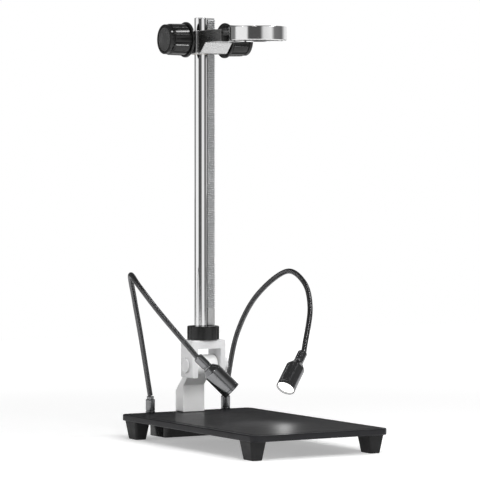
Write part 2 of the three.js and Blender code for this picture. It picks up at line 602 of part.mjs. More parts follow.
function addPedestal(group) {
  place(group, 'pedestal', pedestal(), FINISH.whitePaint);
  const seat = PLATE_BOTTOM + PEDESTAL_SCREW.headHeight + FIT_GAP;
  for (const { side, sign } of SIDES) {
    const shank = PLATE_TOP + PEDESTAL_SCREW_GRIP - seat;
    place(group, `pedestal_screw_${side}`, screw(PEDESTAL_SCREW, shank), FINISH.steel,
      [(sign * PEDESTAL_SCREW_SPACING) / 2, PEDESTAL_SCREW_Y, seat]);
  }
  const hinge = new THREE.Group();
  hinge.position.copy(PIVOT);
  const cheekOuter = CLEVIS_WIDTH / 2;
  const pinEnd = cheekOuter + FIT_GAP + PIN_GRIP;
  place(hinge, 'hinge_pin', rodX(PIN_RADIUS, -cheekOuter, pinEnd), FINISH.steel);
  place(hinge, 'hinge_cap', hingeCap(), FINISH.greyMetal, [-cheekOuter - FIT_GAP, 0, 0]);
  place(hinge, 'hinge_clamp_knob', hingeKnob(), FINISH.greyMetal, [cheekOuter + FIT_GAP, 0, 0]);
  for (const { side, sign } of SIDES) {
    const middle = CHEEK_INNER - FIT_GAP - WASHER_THICKNESS / 2;
    place(hinge, `hinge_washer_${side}`, washer(), FINISH.nylon, [sign * middle, 0, 0]);
  }
  group.add(hinge);
}

// ---------------------------------------------------------------- tilting column, origin on the hinge axis

function columnClevis() {
  const front = CLEVIS_OFFSET - CLEVIS_DEPTH / 2;
  const rear = CLEVIS_OFFSET + CLEVIS_DEPTH / 2;
  const half = CLEVIS_WIDTH / 2;
  const block = box([-half, half], [front, rear], [CLEVIS_BOTTOM, CLEVIS_TOP]);
  const window = box([-CHEEK_INNER, CHEEK_INNER], [front - 1, rear + 1],
    [CLEVIS_BOTTOM - 1, CLEVIS_BRIDGE_BOTTOM]);
  const atRod = (geometry) => geometry.translate(0, ROD_OFFSET, 0);
  const socket = atRod(rodZ(ROD_RADIUS + FIT_GAP, CLEVIS_TOP - ROD_SOCKET_DEPTH, CLEVIS_TOP + 1, FINE));
  const boltHole = atRod(rodZ(COLUMN_BOLT.shankRadius + FIT_GAP, 0, CLEVIS_TOP, COARSE));
  const headRecess = atRod(rodZ(COLUMN_BOLT.headRadius + FIT_GAP, 0, columnBoltSeat() + FIT_GAP, COARSE));
  const pinHole = rodX(PIN_RADIUS + RUNNING_GAP, -CLEVIS_WIDTH, CLEVIS_WIDTH);
  return cut(block, window, socket, boltHole, headRecess, pinHole);
}

const columnBoltSeat = () => CLEVIS_BRIDGE_BOTTOM + COLUMN_BOLT.headHeight + FIT_GAP;

function columnCollar() {
  const body = turned([
    [0, COLLAR_BOTTOM],
    [COLLAR_RADIUS, COLLAR_BOTTOM],
    [COLLAR_RADIUS, COLLAR_TOP - COLLAR_EDGE],
    [COLLAR_RADIUS - COLLAR_EDGE, COLLAR_TOP],
    [0, COLLAR_TOP],
  ], FINE).translate(0, COLLAR_OFFSET, 0);
  return cut(body, rodZ(ROD_RADIUS + FIT_GAP, 0, ROD_TOP, FINE).translate(0, ROD_OFFSET, 0));
}

const rackScrewHeights = () => [
  { name: 'lower', z: RACK_BOTTOM + RACK_SCREW_END_INSET },
  { name: 'upper', z: ROD_TOP - RACK_SCREW_END_INSET },
];

function columnRod() {
  const boltThread = rodZ(COLUMN_BOLT.shankRadius + FIT_GAP, 0, columnBoltEnd() + FIT_GAP, COARSE);
  const rackThreads = rackScrewHeights().map(({ z }) =>
    rodX(RACK_SCREW.shankRadius + FIT_GAP, ROD_RADIUS - RACK_SCREW_GRIP - FIT_GAP, 2 * ROD_RADIUS, COARSE)
      .translate(0, RACK_SCREW_OFFSET, z));
  return cut(rodZ(ROD_RADIUS, ROD_BOTTOM, ROD_TOP, FINE), boltThread, ...rackThreads);
}

const columnBoltEnd = () => ROD_BOTTOM + COLUMN_BOLT_GRIP;

const toothHalfThickness = (heightAbovePitchLine) =>
  (TOOTH_SHARE * TOOTH_PITCH) / 2 - FLANK_SLOPE * heightAbovePitchLine;

// Toothed bar: a gap between two teeth lies level with the pinion axis
function columnRack() {
  const atTip = toothHalfThickness(ADDENDUM);
  const atRoot = toothHalfThickness(-DEDENDUM);
  const points = [[RACK_BACK, RACK_BOTTOM], [RACK_ROOT, RACK_BOTTOM]];
  const lowest = Math.ceil((RACK_BOTTOM + atRoot - CARRIAGE_HEIGHT_ON_COLUMN) / TOOTH_PITCH);
  const highest = Math.floor((ROD_TOP - atRoot - CARRIAGE_HEIGHT_ON_COLUMN) / TOOTH_PITCH - 1);
  for (let tooth = lowest; tooth <= highest; tooth += 1) {
    const z = CARRIAGE_HEIGHT_ON_COLUMN + (tooth + 0.5) * TOOTH_PITCH;
    points.push([RACK_ROOT, z - atRoot], [RACK_TIP, z - atTip], [RACK_TIP, z + atTip], [RACK_ROOT, z + atRoot]);
  }
  points.push([RACK_ROOT, ROD_TOP], [RACK_BACK, ROD_TOP]);
  const bar = profileAlongX(outline(points), RACK_INNER, RACK_OUTER);
  const headFloor = RACK_OUTER - RACK_SCREW.headHeight - 2 * FIT_GAP;
  const holes = rackScrewHeights().flatMap(({ z }) => [
    rodX(RACK_SCREW.shankRadius + FIT_GAP, 0, RACK_OUTER + 1, COARSE).translate(0, RACK_SCREW_OFFSET, z),
    rodX(RACK_SCREW.headRadius + FIT_GAP, headFloor, RACK_OUTER + 1, COARSE).translate(0, RACK_SCREW_OFFSET, z),
  ]);
  return cut(bar, ...holes);
}

function rackFoot() {
  return box([RACK_INNER, RACK_OUTER], [RACK_FOOT_FRONT, RACK_FOOT_FRONT + RACK_FOOT_DEPTH],
    [RACK_FOOT_BOTTOM, RACK_FOOT_BOTTOM + RACK_FOOT_HEIGHT]);
}

function rackScrew() {
  const seat = RACK_OUTER - RACK_SCREW.headHeight - FIT_GAP;
  const shank = seat - (ROD_RADIUS - RACK_SCREW_GRIP);
  return screw(RACK_SCREW, shank).rotateY(-Math.PI / 2).translate(seat, 0, 0);
}

function addColumn(column) {
  place(column, 'column_clevis', columnClevis(), FINISH.greyMetal);
  place(column, 'column_collar', columnCollar(), FINISH.blackPlastic);
  place(column, 'column_bolt', screw(COLUMN_BOLT, columnBoltEnd() - columnBoltSeat()), FINISH.steel,
    [0, ROD_OFFSET, columnBoltSeat()]);
  const onRod = new THREE.Group();
  onRod.position.y = ROD_OFFSET;
  place(onRod, 'column_rod', columnRod(), FINISH.chrome);
  place(onRod, 'column_rack', columnRack(), FINISH.rackSteel);
  place(onRod, 'rack_foot', rackFoot(), FINISH.satinAluminium);
  for (const { name, z } of rackScrewHeights()) {
    place(onRod, `rack_screw_${name}`, rackScrew(), FINISH.steel, [0, RACK_SCREW_OFFSET, z]);
  }
  column.add(onRod);
}

// ---------------------------------------------------------------- carriage, origin on the rod axis
//                                                                  level with the pinion axis

const rackChannel = () => box(
  [0, RACK_OUTER + RACK_CHANNEL_GAP],
  [RACK_TIP - RACK_CHANNEL_GAP, RACK_BACK + RACK_CHANNEL_GAP],
  [CARRIAGE_BOTTOM - 1, CARRIAGE_TOP + 1],
);

const pinionPocket = () =>
  rodX(PINION_POCKET_RADIUS, RACK_INNER - FIT_GAP, RACK_OUTER + FIT_GAP, FINE)
    .translate(0, PINION_OFFSET, 0);

function carriageArm() {
  const slope = ARM_BOTTOM - CARRIAGE_BOTTOM;
  const arm = profileAlongX(outline([
    [-ARM_REACH, CARRIAGE_TOP],
    [-ARM_REACH, ARM_BOTTOM],
    [-GUSSET_REACH, ARM_BOTTOM],
    [-GUSSET_REACH + slope, CARRIAGE_BOTTOM],
    [-GUIDE_BLOCK_FRONT + 1, CARRIAGE_BOTTOM],
    [-GUIDE_BLOCK_FRONT + 1, CARRIAGE_TOP],
  ]), -ARM_WIDTH / 2, ARM_WIDTH / 2);
  const half = GUIDE_BLOCK_WIDTH / 2;
  const guideBlock = box([-half, half], [-GUIDE_BLOCK_FRONT, GUIDE_BLOCK_REAR], [CARRIAGE_BOTTOM, CARRIAGE_TOP]);
  const bore = rodZ(ROD_RADIUS + 2 * FIT_GAP, CARRIAGE_BOTTOM - 1, CARRIAGE_TOP + 1, FINE);
  const bushSeats = [
    rodZ(BUSH_OUTER_RADIUS + FIT_GAP, CARRIAGE_BOTTOM - 1, CARRIAGE_BOTTOM + BUSH_HEIGHT + FIT_GAP, FINE),
    rodZ(BUSH_OUTER_RADIUS + FIT_GAP, CARRIAGE_TOP - BUSH_HEIGHT - FIT_GAP, CARRIAGE_TOP + 1, FINE),
  ];
  const shaftBore = rodX(PINION_SHAFT_RADIUS + RUNNING_GAP, -GUIDE_BLOCK_WIDTH, GUIDE_BLOCK_WIDTH)
    .translate(0, PINION_OFFSET, 0);
  const tangWidth = TANG_WIDTH / 2 + FIT_GAP;
  const tangHeight = TANG_ROOT_HEIGHT / 2 + FIT_GAP;
  const tangPocket = box([-tangWidth, tangWidth],
    [-ARM_REACH - 1, -ARM_REACH + TANG_ROOT_DEPTH + FIT_GAP],
    [ARM_MIDDLE - tangHeight, ARM_MIDDLE + tangHeight]);
  return cut(join(arm, guideBlock), bore, ...bushSeats, rackChannel(), pinionPocket(), shaftBore, tangPocket);
}

// Bush that guides the rod, open where the rack passes and where the pinion turns
function guideBush(z0) {
  const ring = rodZ(BUSH_OUTER_RADIUS, z0, z0 + BUSH_HEIGHT, FINE);
  return cut(ring, rodZ(BUSH_INNER_RADIUS, z0 - 1, z0 + BUSH_HEIGHT + 1, FINE), rackChannel(), pinionPocket());
}

function armEndPlate() {
  const half = ARM_WIDTH / 2;
  const tangWidth = TANG_WIDTH / 2 + FIT_GAP;
  const tangHeight = TANG_ROOT_HEIGHT / 2 + FIT_GAP;
  const plate = box([-half, half], [END_PLATE_FRONT, -ARM_REACH - FIT_GAP], [ARM_BOTTOM, CARRIAGE_TOP]);
  return cut(plate, box([-tangWidth, tangWidth], [END_PLATE_FRONT - 1, -ARM_REACH + 1],
    [ARM_MIDDLE - tangHeight, ARM_MIDDLE + tangHeight]));
}

// Split ring with two ears, closed by a clamp screw, and a tang that is held in the arm
function splitRing() {
  const low = ARM_MIDDLE - RING_HEIGHT / 2;
  const high = ARM_MIDDLE + RING_HEIGHT / 2;
  const earEnd = END_PLATE_FRONT - FIT_GAP;
  const tangEnd = -ARM_REACH + TANG_ROOT_DEPTH;
  const half = TANG_WIDTH / 2;
  const atRing = (geometry) => geometry.translate(0, -RING_REACH, 0);
  const band = atRing(rodZ(RING_OUTER_RADIUS, low, high, 2 * MEDIUM));
  const ears = box([-half, half], [-RING_REACH + RING_BORE_RADIUS, earEnd], [low, high]);
  const root = box([-half, half], [earEnd - 1, tangEnd],
    [ARM_MIDDLE - TANG_ROOT_HEIGHT / 2, ARM_MIDDLE + TANG_ROOT_HEIGHT / 2]);
  const bore = atRing(rodZ(RING_BORE_RADIUS, low - 1, high + 1, 2 * MEDIUM));
  const slit = box([-RING_SLIT / 2, RING_SLIT / 2], [-RING_REACH, earEnd - 1.5], [low - 1, high + 1]);
  const screwHole = rodX(RING_SCREW.shankRadius + FIT_GAP, -ARM_WIDTH, ARM_WIDTH, COARSE)
    .translate(0, END_PLATE_FRONT - RING_SCREW_INSET, ARM_MIDDLE + RING_SCREW_RISE);
  return cut(join(band, ears, root), bore, slit, screwHole);
}

function addCarriage(carriage) {
  place(carriage, 'carriage_arm', carriageArm(), FINISH.satinAluminium);
  place(carriage, 'guide_bush_lower', guideBush(CARRIAGE_BOTTOM), FINISH.brass);
  place(carriage, 'guide_bush_upper', guideBush(CARRIAGE_TOP - BUSH_HEIGHT), FINISH.brass);
  place(carriage, 'arm_end_plate', armEndPlate(), FINISH.blackPlastic);
  place(carriage, 'split_ring', splitRing(), FINISH.satinAluminium);
  const ringScrew = alongX(screw(RING_SCREW, TANG_WIDTH + FIT_GAP));
  place(carriage, 'ring_clamp_screw', ringScrew, FINISH.blackPlastic,
    [-TANG_WIDTH / 2 - FIT_GAP, END_PLATE_FRONT - RING_SCREW_INSET, ARM_MIDDLE + RING_SCREW_RISE]);
}

// ---------------------------------------------------------------- focus drive, origin on the pinion axis

function pinion() {
  const points = [];
  for (let tooth = 0; tooth < PINION_TEETH; tooth += 1) {
    const middle = (tooth / PINION_TEETH) * 2 * Math.PI;
    const flank = [
      { r: PITCH_RADIUS - DEDENDUM, half: toothHalfThickness(-DEDENDUM) },
      { r: PITCH_RADIUS + ADDENDUM, half: toothHalfThickness(ADDENDUM) },
    ];
    const at = ({ r, half }, sign) => {
      const angle = middle + (sign * half) / r;
      return [r * Math.cos(angle), r * Math.sin(angle)];
    };
    points.push(at(flank[0], -1), at(flank[1], -1), at(flank[1], 1), at(flank[0], 1));
  }
  const gear = profileAlongX(outline(points), RACK_INNER, RACK_OUTER);
  return cut(gear, rodX(PINION_SHAFT_RADIUS + RUNNING_GAP, 0, 2 * RACK_OUTER));
}

// Fluted knob for the +X end of the shaft
function focusKnob() {
  const flange = rodX(KNOB_FLANGE_RADIUS, KNOB_INNER_FACE, KNOB_FLANGE_END, FINE);
  const gripShape = flutedOutline(KNOB_GRIP_RADIUS, KNOB_FLUTES, KNOB_FLUTE_DEPTH, 6);
  const grip = profileAlongX(gripShape, KNOB_FLANGE_END - 1, KNOB_GRIP_END);
  const rim = rodX(KNOB_RIM_RADIUS, KNOB_GRIP_END - 1, KNOB_END, FINE);
  const bore = rodX(PINION_SHAFT_RADIUS + RUNNING_GAP, 0, SHAFT_HALF_LENGTH + FIT_GAP);
  const recess = rodX(KNOB_CAP_RADIUS + FIT_GAP, KNOB_END - KNOB_RECESS_DEPTH, KNOB_END + 1, FINE);
  return cut(join(flange, grip, rim), bore, recess);
}

// Dished disc let into the knob's outer end
function knobCap() {
  const back = KNOB_END - KNOB_RECESS_DEPTH + FIT_GAP;
  const face = back + KNOB_CAP_THICKNESS;
  const profile = [[0, back], [KNOB_CAP_RADIUS, back], [KNOB_CAP_RADIUS, face], [0.9 * KNOB_CAP_RADIUS, face]];
  for (let step = 1; step <= KNOB_CAP_STEPS; step += 1) {
    const share = 1 - step / KNOB_CAP_STEPS;
    profile.push([0.9 * KNOB_CAP_RADIUS * share, face - KNOB_CAP_DISH * (1 - share * share)]);
  }
  return alongX(turned(profile));
}

function addFocusDrive(drive) {
  place(drive, 'pinion_shaft', rodX(PINION_SHAFT_RADIUS, -SHAFT_HALF_LENGTH, SHAFT_HALF_LENGTH), FINISH.steel);
  place(drive, 'drive_pinion', pinion(), FINISH.brass);
  for (const { side, sign } of SIDES) {
    const end = new THREE.Group();
    end.rotation.z = sign > 0 ? 0 : Math.PI;
    place(end, `focus_knob_${side}`, focusKnob(), FINISH.blackPlastic);
    place(end, `knob_cap_${side}`, knobCap(), FINISH.blackPlastic);
    drive.add(end);
  }
}

// ---------------------------------------------------------------- gooseneck lamps

// A stretch of a longer curve, between two distances from its start
class Stretch extends THREE.Curve {
  constructor(whole, from, to) {
    super();
    this.whole = whole;
    this.from = from / whole.getLength();
    this.to = to / whole.getLength();
  }

  getPoint(share, target = new THREE.Vector3()) {
    return this.whole.getPointAt(THREE.MathUtils.lerp(this.from, this.to, share), target);
  }
}

function tube(curve, radius, steps) {
  const section = new THREE.Shape();
  section.absarc(0, 0, radius, 0, 2 * Math.PI);
  return new THREE.ExtrudeGeometry(section, { steps, extrudePath: curve, curveSegments: NECK_SIDES / 2 });
}

// Part of the neck with a round end, which lets the next piece turn against it
function neckPart(curve) {
  const end = curve.getPoint(1);
  const ball = new THREE.SphereGeometry(NECK_RADIUS, NECK_SIDES, 6).translate(end.x, end.y, end.z);
  return join(tube(curve, NECK_RADIUS, Math.round(curve.getLength() / NECK_STEP)), ball);
}

function neckRoute(sign) {
  const points = NECK_ROUTE.map(([x, y, z]) => new THREE.Vector3(sign * x, y, z));
  const whole = new THREE.CatmullRomCurve3(points);
  const crest = whole.getLengths(6 * 60)[NECK_CREST * 60];
  return { whole, crest, tip: points.at(-1) };
}

function lampPost() {
  const bottom = PLATE_TOP + FIT_GAP;
  return turned([
    [0, PLATE_BOTTOM - POST_STUD_DROP],
    [POST_STUD_RADIUS, PLATE_BOTTOM - POST_STUD_DROP],
    [POST_STUD_RADIUS, bottom],
    [POST_RADIUS, bottom],
    [POST_RADIUS, bottom + POST_HEIGHT],
    [POST_NECK_RADIUS, bottom + POST_HEIGHT],
    [POST_NECK_RADIUS, POST_TOP],
    [0, POST_TOP],
  ]);
}

function postNut() {
  const hexagon = rodZ(POST_NUT_RADIUS, 0, POST_NUT_HEIGHT, 6);
  return cut(hexagon, rodZ(POST_STUD_RADIUS + FIT_GAP, -1, POST_NUT_HEIGHT + 1, COARSE));
}

// The lamp's own frame has its origin at the neck's tip, and +Z the way the lamp shines
const SLEEVE_START = NECK_RADIUS + NECK_JOINT_GAP;
const SHOULDER_START = SLEEVE_START + SLEEVE_LENGTH + FIT_GAP;
const LAMP_START = SHOULDER_START + SHOULDER_LENGTH;
const LAMP_END = LAMP_START + LAMP_LENGTH;
const CAVITY_RADIUS = LAMP_RADIUS - LAMP_WALL;
const CAVITY_START = LAMP_END - LAMP_CAVITY_DEPTH;

function neckSleeve() {
  return rodZ(SLEEVE_RADIUS, SLEEVE_START, SLEEVE_START + SLEEVE_LENGTH);
}

function lampHousing() {
  return turned([
    [0, SHOULDER_START],
    [SLEEVE_RADIUS + 0.5, SHOULDER_START],
    [LAMP_RADIUS, LAMP_START],
    [LAMP_RADIUS, LAMP_END],
    [CAVITY_RADIUS, LAMP_END],
    [CAVITY_RADIUS, CAVITY_START],
    [0, CAVITY_START],
  ]);
}

function addLamp(group, side, sign) {
  const lamp = new THREE.Group();
  lamp.position.set(sign * POST_X, POST_Y, 0);
  place(lamp, `lamp_post_${side}`, lampPost(), FINISH.gunmetal);
  place(lamp, `post_nut_${side}`, postNut(), FINISH.steel, [0, 0, PLATE_BOTTOM - FIT_GAP - POST_NUT_HEIGHT]);

  const { whole, crest, tip } = neckRoute(sign);
  const lower = new Stretch(whole, NECK_START_GAP, crest);
  const upper = new Stretch(whole, crest + NECK_RADIUS + NECK_JOINT_GAP, whole.getLength());
  place(lamp, `gooseneck_lower_${side}`, neckPart(lower), FINISH.neckMetal, [0, 0, POST_TOP]);
  place(lamp, `gooseneck_upper_${side}`, neckPart(upper), FINISH.neckMetal, [0, 0, POST_TOP]);

  const head = new THREE.Group();
  const heading = THREE.MathUtils.degToRad(LAMP_HEADING);
  const dip = THREE.MathUtils.degToRad(LAMP_DIP);
  const shine = new THREE.Vector3(
    sign * Math.cos(heading) * Math.cos(dip), Math.sin(heading) * Math.cos(dip), -Math.sin(dip),
  );
  head.position.copy(tip).setZ(tip.z + POST_TOP);
  head.quaternion.setFromUnitVectors(new THREE.Vector3(0, 0, 1), shine);
  place(head, `neck_sleeve_${side}`, neckSleeve(), FINISH.gunmetal);
  place(head, `lamp_housing_${side}`, lampHousing(), FINISH.gunmetal);
  const boardStart = CAVITY_START + FIT_GAP;
  const board = rodZ(CAVITY_RADIUS - FIT_GAP, boardStart, boardStart + LED_BOARD_THICKNESS);
  place(head, `led_board_${side}`, board, FINISH.nylon);
  const lensEnd = LAMP_END - LENS_RECESS;
  place(head, `lamp_lens_${side}`, rodZ(CAVITY_RADIUS - FIT_GAP, lensEnd - LENS_THICKNESS, lensEnd), FINISH.lens);
  lamp.add(head);
  group.add(lamp);
}

// ---------------------------------------------------------------- assembly

const stand = new THREE.Group();
addBasePlate(stand);
addDriver(stand);
addPedestal(stand);

const column = new THREE.Group();
column.position.copy(PIVOT);
addColumn(column);

const carriage = new THREE.Group();
carriage.position.set(0, ROD_OFFSET, CARRIAGE_HEIGHT_ON_COLUMN);
addCarriage(carriage);

const focusDrive = new THREE.Group();
focusDrive.position.y = PINION_OFFSET;
addFocusDrive(focusDrive);

carriage.add(focusDrive);
column.add(carriage);
stand.add(column);
for (const { side, sign } of SIDES) addLamp(stand, side, sign);

export default stand;
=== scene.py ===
# The looks of a document camera stand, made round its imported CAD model.
# Shapes are drawn in millimetres in the CAD's own frame and scaled to metres as each piece is made.
import json
import math

import bmesh
import bpy
from mathutils import Matrix, Vector


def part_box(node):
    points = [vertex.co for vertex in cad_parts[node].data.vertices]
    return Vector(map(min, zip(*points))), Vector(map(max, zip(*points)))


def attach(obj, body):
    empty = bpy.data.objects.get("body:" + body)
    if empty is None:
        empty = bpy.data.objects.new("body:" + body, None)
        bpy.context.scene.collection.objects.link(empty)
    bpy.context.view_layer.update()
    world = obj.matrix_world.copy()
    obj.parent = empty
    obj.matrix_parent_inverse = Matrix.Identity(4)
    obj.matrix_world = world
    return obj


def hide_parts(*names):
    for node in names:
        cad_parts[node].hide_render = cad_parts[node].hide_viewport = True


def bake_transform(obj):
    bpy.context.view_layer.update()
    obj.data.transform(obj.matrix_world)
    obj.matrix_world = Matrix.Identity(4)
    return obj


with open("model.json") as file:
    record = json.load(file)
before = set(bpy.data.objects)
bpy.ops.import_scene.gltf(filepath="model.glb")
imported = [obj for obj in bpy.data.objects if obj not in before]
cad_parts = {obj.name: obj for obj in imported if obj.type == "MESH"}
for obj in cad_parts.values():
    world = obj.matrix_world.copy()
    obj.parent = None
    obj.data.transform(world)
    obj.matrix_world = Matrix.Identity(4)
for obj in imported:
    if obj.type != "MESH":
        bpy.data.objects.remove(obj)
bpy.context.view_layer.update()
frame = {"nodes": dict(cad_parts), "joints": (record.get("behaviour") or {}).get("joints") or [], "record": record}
record = frame["record"]
BODY_OF = {node: body for body, nodes in record["behaviour"]["bodies"].items() for node in nodes}
SLOT_OF = {part["node"]: part["material_slot"] for part in record["subparts"]}
JOINT = {joint["name"]: joint for joint in frame["joints"]}

MM = 0.001
SIDES = (("left", -1), ("right", 1))
SHARP_ANGLE = math.radians(34)
ALONG_X = Matrix(((0, 0, 1), (1, 0, 0), (0, 1, 0))).to_4x4()  # a shape's x, y, z become Y, Z, X
ALONG_Y = Matrix(((1, 0, 0), (0, 0, -1), (0, 1, 0))).to_4x4()  # a shape's x, y, z become X, Z, -Y
Z_TO_X = Matrix.Rotation(math.radians(90), 4, "Y")


# ---------------------------------------------------------------- camera

CAMERA_PLACE = (-1.4646, -2.4594, 0.2961)
CAMERA_HEADING = math.radians(30.545)  # from +Y towards +X
CAMERA_PITCH = math.radians(-1.704)
CAMERA_LENS = 210
CAMERA_SENSOR = 36


def make_camera():
    data = bpy.data.cameras.new("camera")
    data.lens = CAMERA_LENS
    data.sensor_width = CAMERA_SENSOR
    data.clip_end = 100
    camera = bpy.data.objects.new("camera", data)
    level = math.cos(CAMERA_PITCH)
    ahead = Vector((math.sin(CAMERA_HEADING) * level, math.cos(CAMERA_HEADING) * level,
                    math.sin(CAMERA_PITCH)))
    camera.location = CAMERA_PLACE
    camera.rotation_mode = "QUATERNION"
    camera.rotation_quaternion = ahead.to_track_quat("-Z", "Y")
    bpy.context.scene.collection.objects.link(camera)
    bpy.context.scene.camera = camera


make_camera()


# ---------------------------------------------------------------- places, from the frame

def box_mm(node):
    low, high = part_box(node)
    return low / MM, high / MM


def middle(node):
    low, high = box_mm(node)
    return (low + high) / 2


def joint_mm(name):
    return Vector(JOINT[name]["pos_m"]) / MM


# ---------------------------------------------------------------- outlines

def arc(centre, radius, start, end, steps):
    """Points on an arc between two angles in degrees, both ends included."""
    turns = [math.radians(start + (end - start) * i / steps) for i in range(steps + 1)]
    return [(centre[0] + radius * math.cos(t), centre[1] + radius * math.sin(t)) for t in turns]


def circle(radius, steps=64, centre=(0, 0)):
    return arc(centre, radius, 0, 360 - 360 / steps, steps - 1)


def filleted(corners, closed=True, steps=6):
    """An outline from (x, y, fillet radius) corners."""
    points = []
    count = len(corners)
    for i, (x, y, radius) in enumerate(corners):
        at_end = not closed and i in (0, count - 1)
        if radius <= 0 or at_end:
            points.append((x, y))
            continue
        here = Vector((x, y))
        back = (Vector(corners[i - 1][:2]) - here).normalized()
        on = (Vector(corners[(i + 1) % count][:2]) - here).normalized()
        half = back.angle(on) / 2
        centre = here + (back + on).normalized() * (radius / math.sin(half))
        start = here + back * (radius / math.tan(half)) - centre
        end = here + on * (radius / math.tan(half)) - centre
        sweep = start.angle_signed(end)
        for step in range(steps + 1):
            spoke = Matrix.Rotation(-sweep * step / steps, 2) @ start
            points.append(tuple(centre + spoke))
    return points


def rectangle(x0, x1, y0, y1, radius, steps=6):
    return filleted([(x0, y0, radius), (x1, y0, radius), (x1, y1, radius), (x0, y1, radius)], steps=steps)


def footprint(low, high, radius, steps=6, grow=0.0):
    """The plan of a box, grown on every side."""
    return rectangle(low.x - grow, high.x + grow, low.y - grow, high.y + grow, radius, steps)


def centred(x, y, half_width, half_height, radius, steps):
    return rectangle(x - half_width, x + half_width, y - half_height, y + half_height, radius, steps)


def inset(outline, distance):
    """The outline moved inwards, for one that runs anticlockwise."""
    moved = []
    count = len(outline)
    for i in range(count):
        here = Vector(outline[i])
        before = (here - Vector(outline[i - 1])).normalized()
        after = (Vector(outline[(i + 1) % count]) - here).normalized()
        inward = Vector((-before.y - after.y, before.x + after.x)).normalized()
        lean = max(0.3, inward.dot(Vector((-after.y, after.x))))
        moved.append(tuple(here + inward * (distance / lean)))
    return moved


# ---------------------------------------------------------------- solids

def loft(rings, closed=False):
    """A solid skinned over rings of 3-D points that all have the same count."""
    mesh = bmesh.new()
    made = [[mesh.verts.new(point) for point in ring] for ring in rings]
    pairs = list(zip(made, made[1:])) + ([(made[-1], made[0])] if closed else [])
    for low, high in pairs:
        for i in range(len(low)):
            j = (i + 1) % len(low)
            mesh.faces.new((low[i], low[j], high[j], high[i]))
    if not closed:
        mesh.faces.new(list(reversed(made[0])))
        mesh.faces.new(made[-1])
    return mesh


def prism(outline, z0, z1, edge=0.6, steps=4):
    """An outline drawn up from z0 to z1, with its rims rounded over."""
    if not edge:
        return loft([[(x, y, z) for x, y in outline] for z in (z0, z1)])
    quarter = [math.radians(90 * i / steps) for i in range(steps + 1)]
    rims = [(edge * (1 - math.sin(t)), edge * (1 - math.cos(t))) for t in quarter]
    levels = [(side, z0 + rise) for side, rise in rims] + [(side, z1 - rise) for side, rise in reversed(rims)]
    return loft([[(x, y, z) for x, y in inset(outline, side)] for side, z in levels])


def lathe(profile, segments=72):
    """A solid of revolution about Z, from (radius, z) points that start and end on the axis."""
    mesh = bmesh.new()
    rings = []
    for radius, z in profile:
        if radius < 1e-6:
            rings.append([mesh.verts.new((0, 0, z))])
            continue
        turns = [2 * math.pi * i / segments for i in range(segments)]
        rings.append([mesh.verts.new((radius * math.cos(t), radius * math.sin(t), z)) for t in turns])
    for low, high in zip(rings, rings[1:]):
        for i in range(segments):
            j = (i + 1) % segments
            corners = [low[i % len(low)], low[j % len(low)], high[j % len(high)], high[i % len(high)]]
            corners = list(dict.fromkeys(corners))
            if len(corners) > 2:
                mesh.faces.new(corners)
    bmesh.ops.recalc_face_normals(mesh, faces=mesh.faces)
    return mesh


def turned(corners, segments=72, steps=4):
    """A turned solid whose (radius, z, fillet) corners are rounded."""
    return lathe(filleted(corners, closed=False, steps=steps), segments)


def bar(radius, z0, z1, fillet, segments=48):
    """A round bar along Z with rounded rims."""
    return turned([(0, z0, 0), (radius, z0, fillet), (radius, z1, fillet), (0, z1, 0)], segments)


def cylinder(radius, z0, z1, segments=48):
    return lathe([(0, z0), (radius, z0), (radius, z1), (0, z1)], segments)


def placed(mesh, matrix):
    mesh.transform(matrix)
    return mesh


def shifted(mesh, x, y, z):
    return placed(mesh, Matrix.Translation((x, y, z)))


def along_x(outline, x0, x1, edge=0, steps=4):
    """An outline of (Y, Z) points drawn from x0 to x1."""
    return placed(prism(outline, x0, x1, edge, steps), ALONG_X)


def along_y(outline, y0, y1, edge=0):
    """An outline of (X, Z) points drawn from y0 to y1."""
    return placed(prism(outline, -y1, -y0, edge), ALONG_Y)


def peg(radius, at, x0, x1, steps=48):
    """A plain round peg along X, on a line through the place at."""
    return along_x(circle(radius, steps, (at.y, at.z)), x0, x1)


def pegs_at_ends(radius, at, near, far, steps=64):
    """A peg along X at each side of the middle plane, from near to far from it."""
    return [peg(radius, at, *sorted((sign * near, sign * far)), steps) for sign in (-1, 1)]


def knurled(levels, at, count, reach):
    """A solid along X from (x, radius, cut) levels. reach(radius, cut, i) is its radius at point i."""
    rings = []
    for x, radius, cut in levels:
        ring = []
        for i in range(count):
            angle = 2 * math.pi * i / count
            far = reach(radius, cut, i)
            ring.append((x, at.y + far * math.cos(angle), at.z + far * math.sin(angle)))
        rings.append(ring)
    return loft(rings)


def to_object(name, mesh):
    data = bpy.data.meshes.new(name)
    mesh.to_mesh(data)
    mesh.free()
    thing = bpy.data.objects.new(name, data)
    bpy.context.scene.collection.objects.link(thing)
    return thing


def combined(base, tools, operation="DIFFERENCE"):
    """base with each tool cut from it or joined to it. All are bmesh solids, and base is returned as one."""
    result = base
    for tool in tools:
        body, other = to_object("cut_body", result), to_object("cut_tool", tool)
        step = body.modifiers.new("step", "BOOLEAN")
        step.operation = operation
        step.solver = "EXACT"
        step.object = other
        bpy.context.view_layer.update()
        evaluated = body.evaluated_get(bpy.context.evaluated_depsgraph_get())
        result = bmesh.new()
        result.from_mesh(evaluated.to_mesh())
        evaluated.to_mesh_clear()
        for thing in (body, other):
            data = thing.data
            bpy.data.objects.remove(thing)
            bpy.data.meshes.remove(data)
        bmesh.ops.remove_doubles(result, verts=result.verts, dist=1e-4)
    return result


def together(*meshes):
    """Separate solids as one mesh."""
    whole = bmesh.new()
    for mesh in meshes:
        data = bpy.data.meshes.new("part")
        mesh.to_mesh(data)
        mesh.free()
        whole.from_mesh(data)
        bpy.data.meshes.remove(data)
    return whole


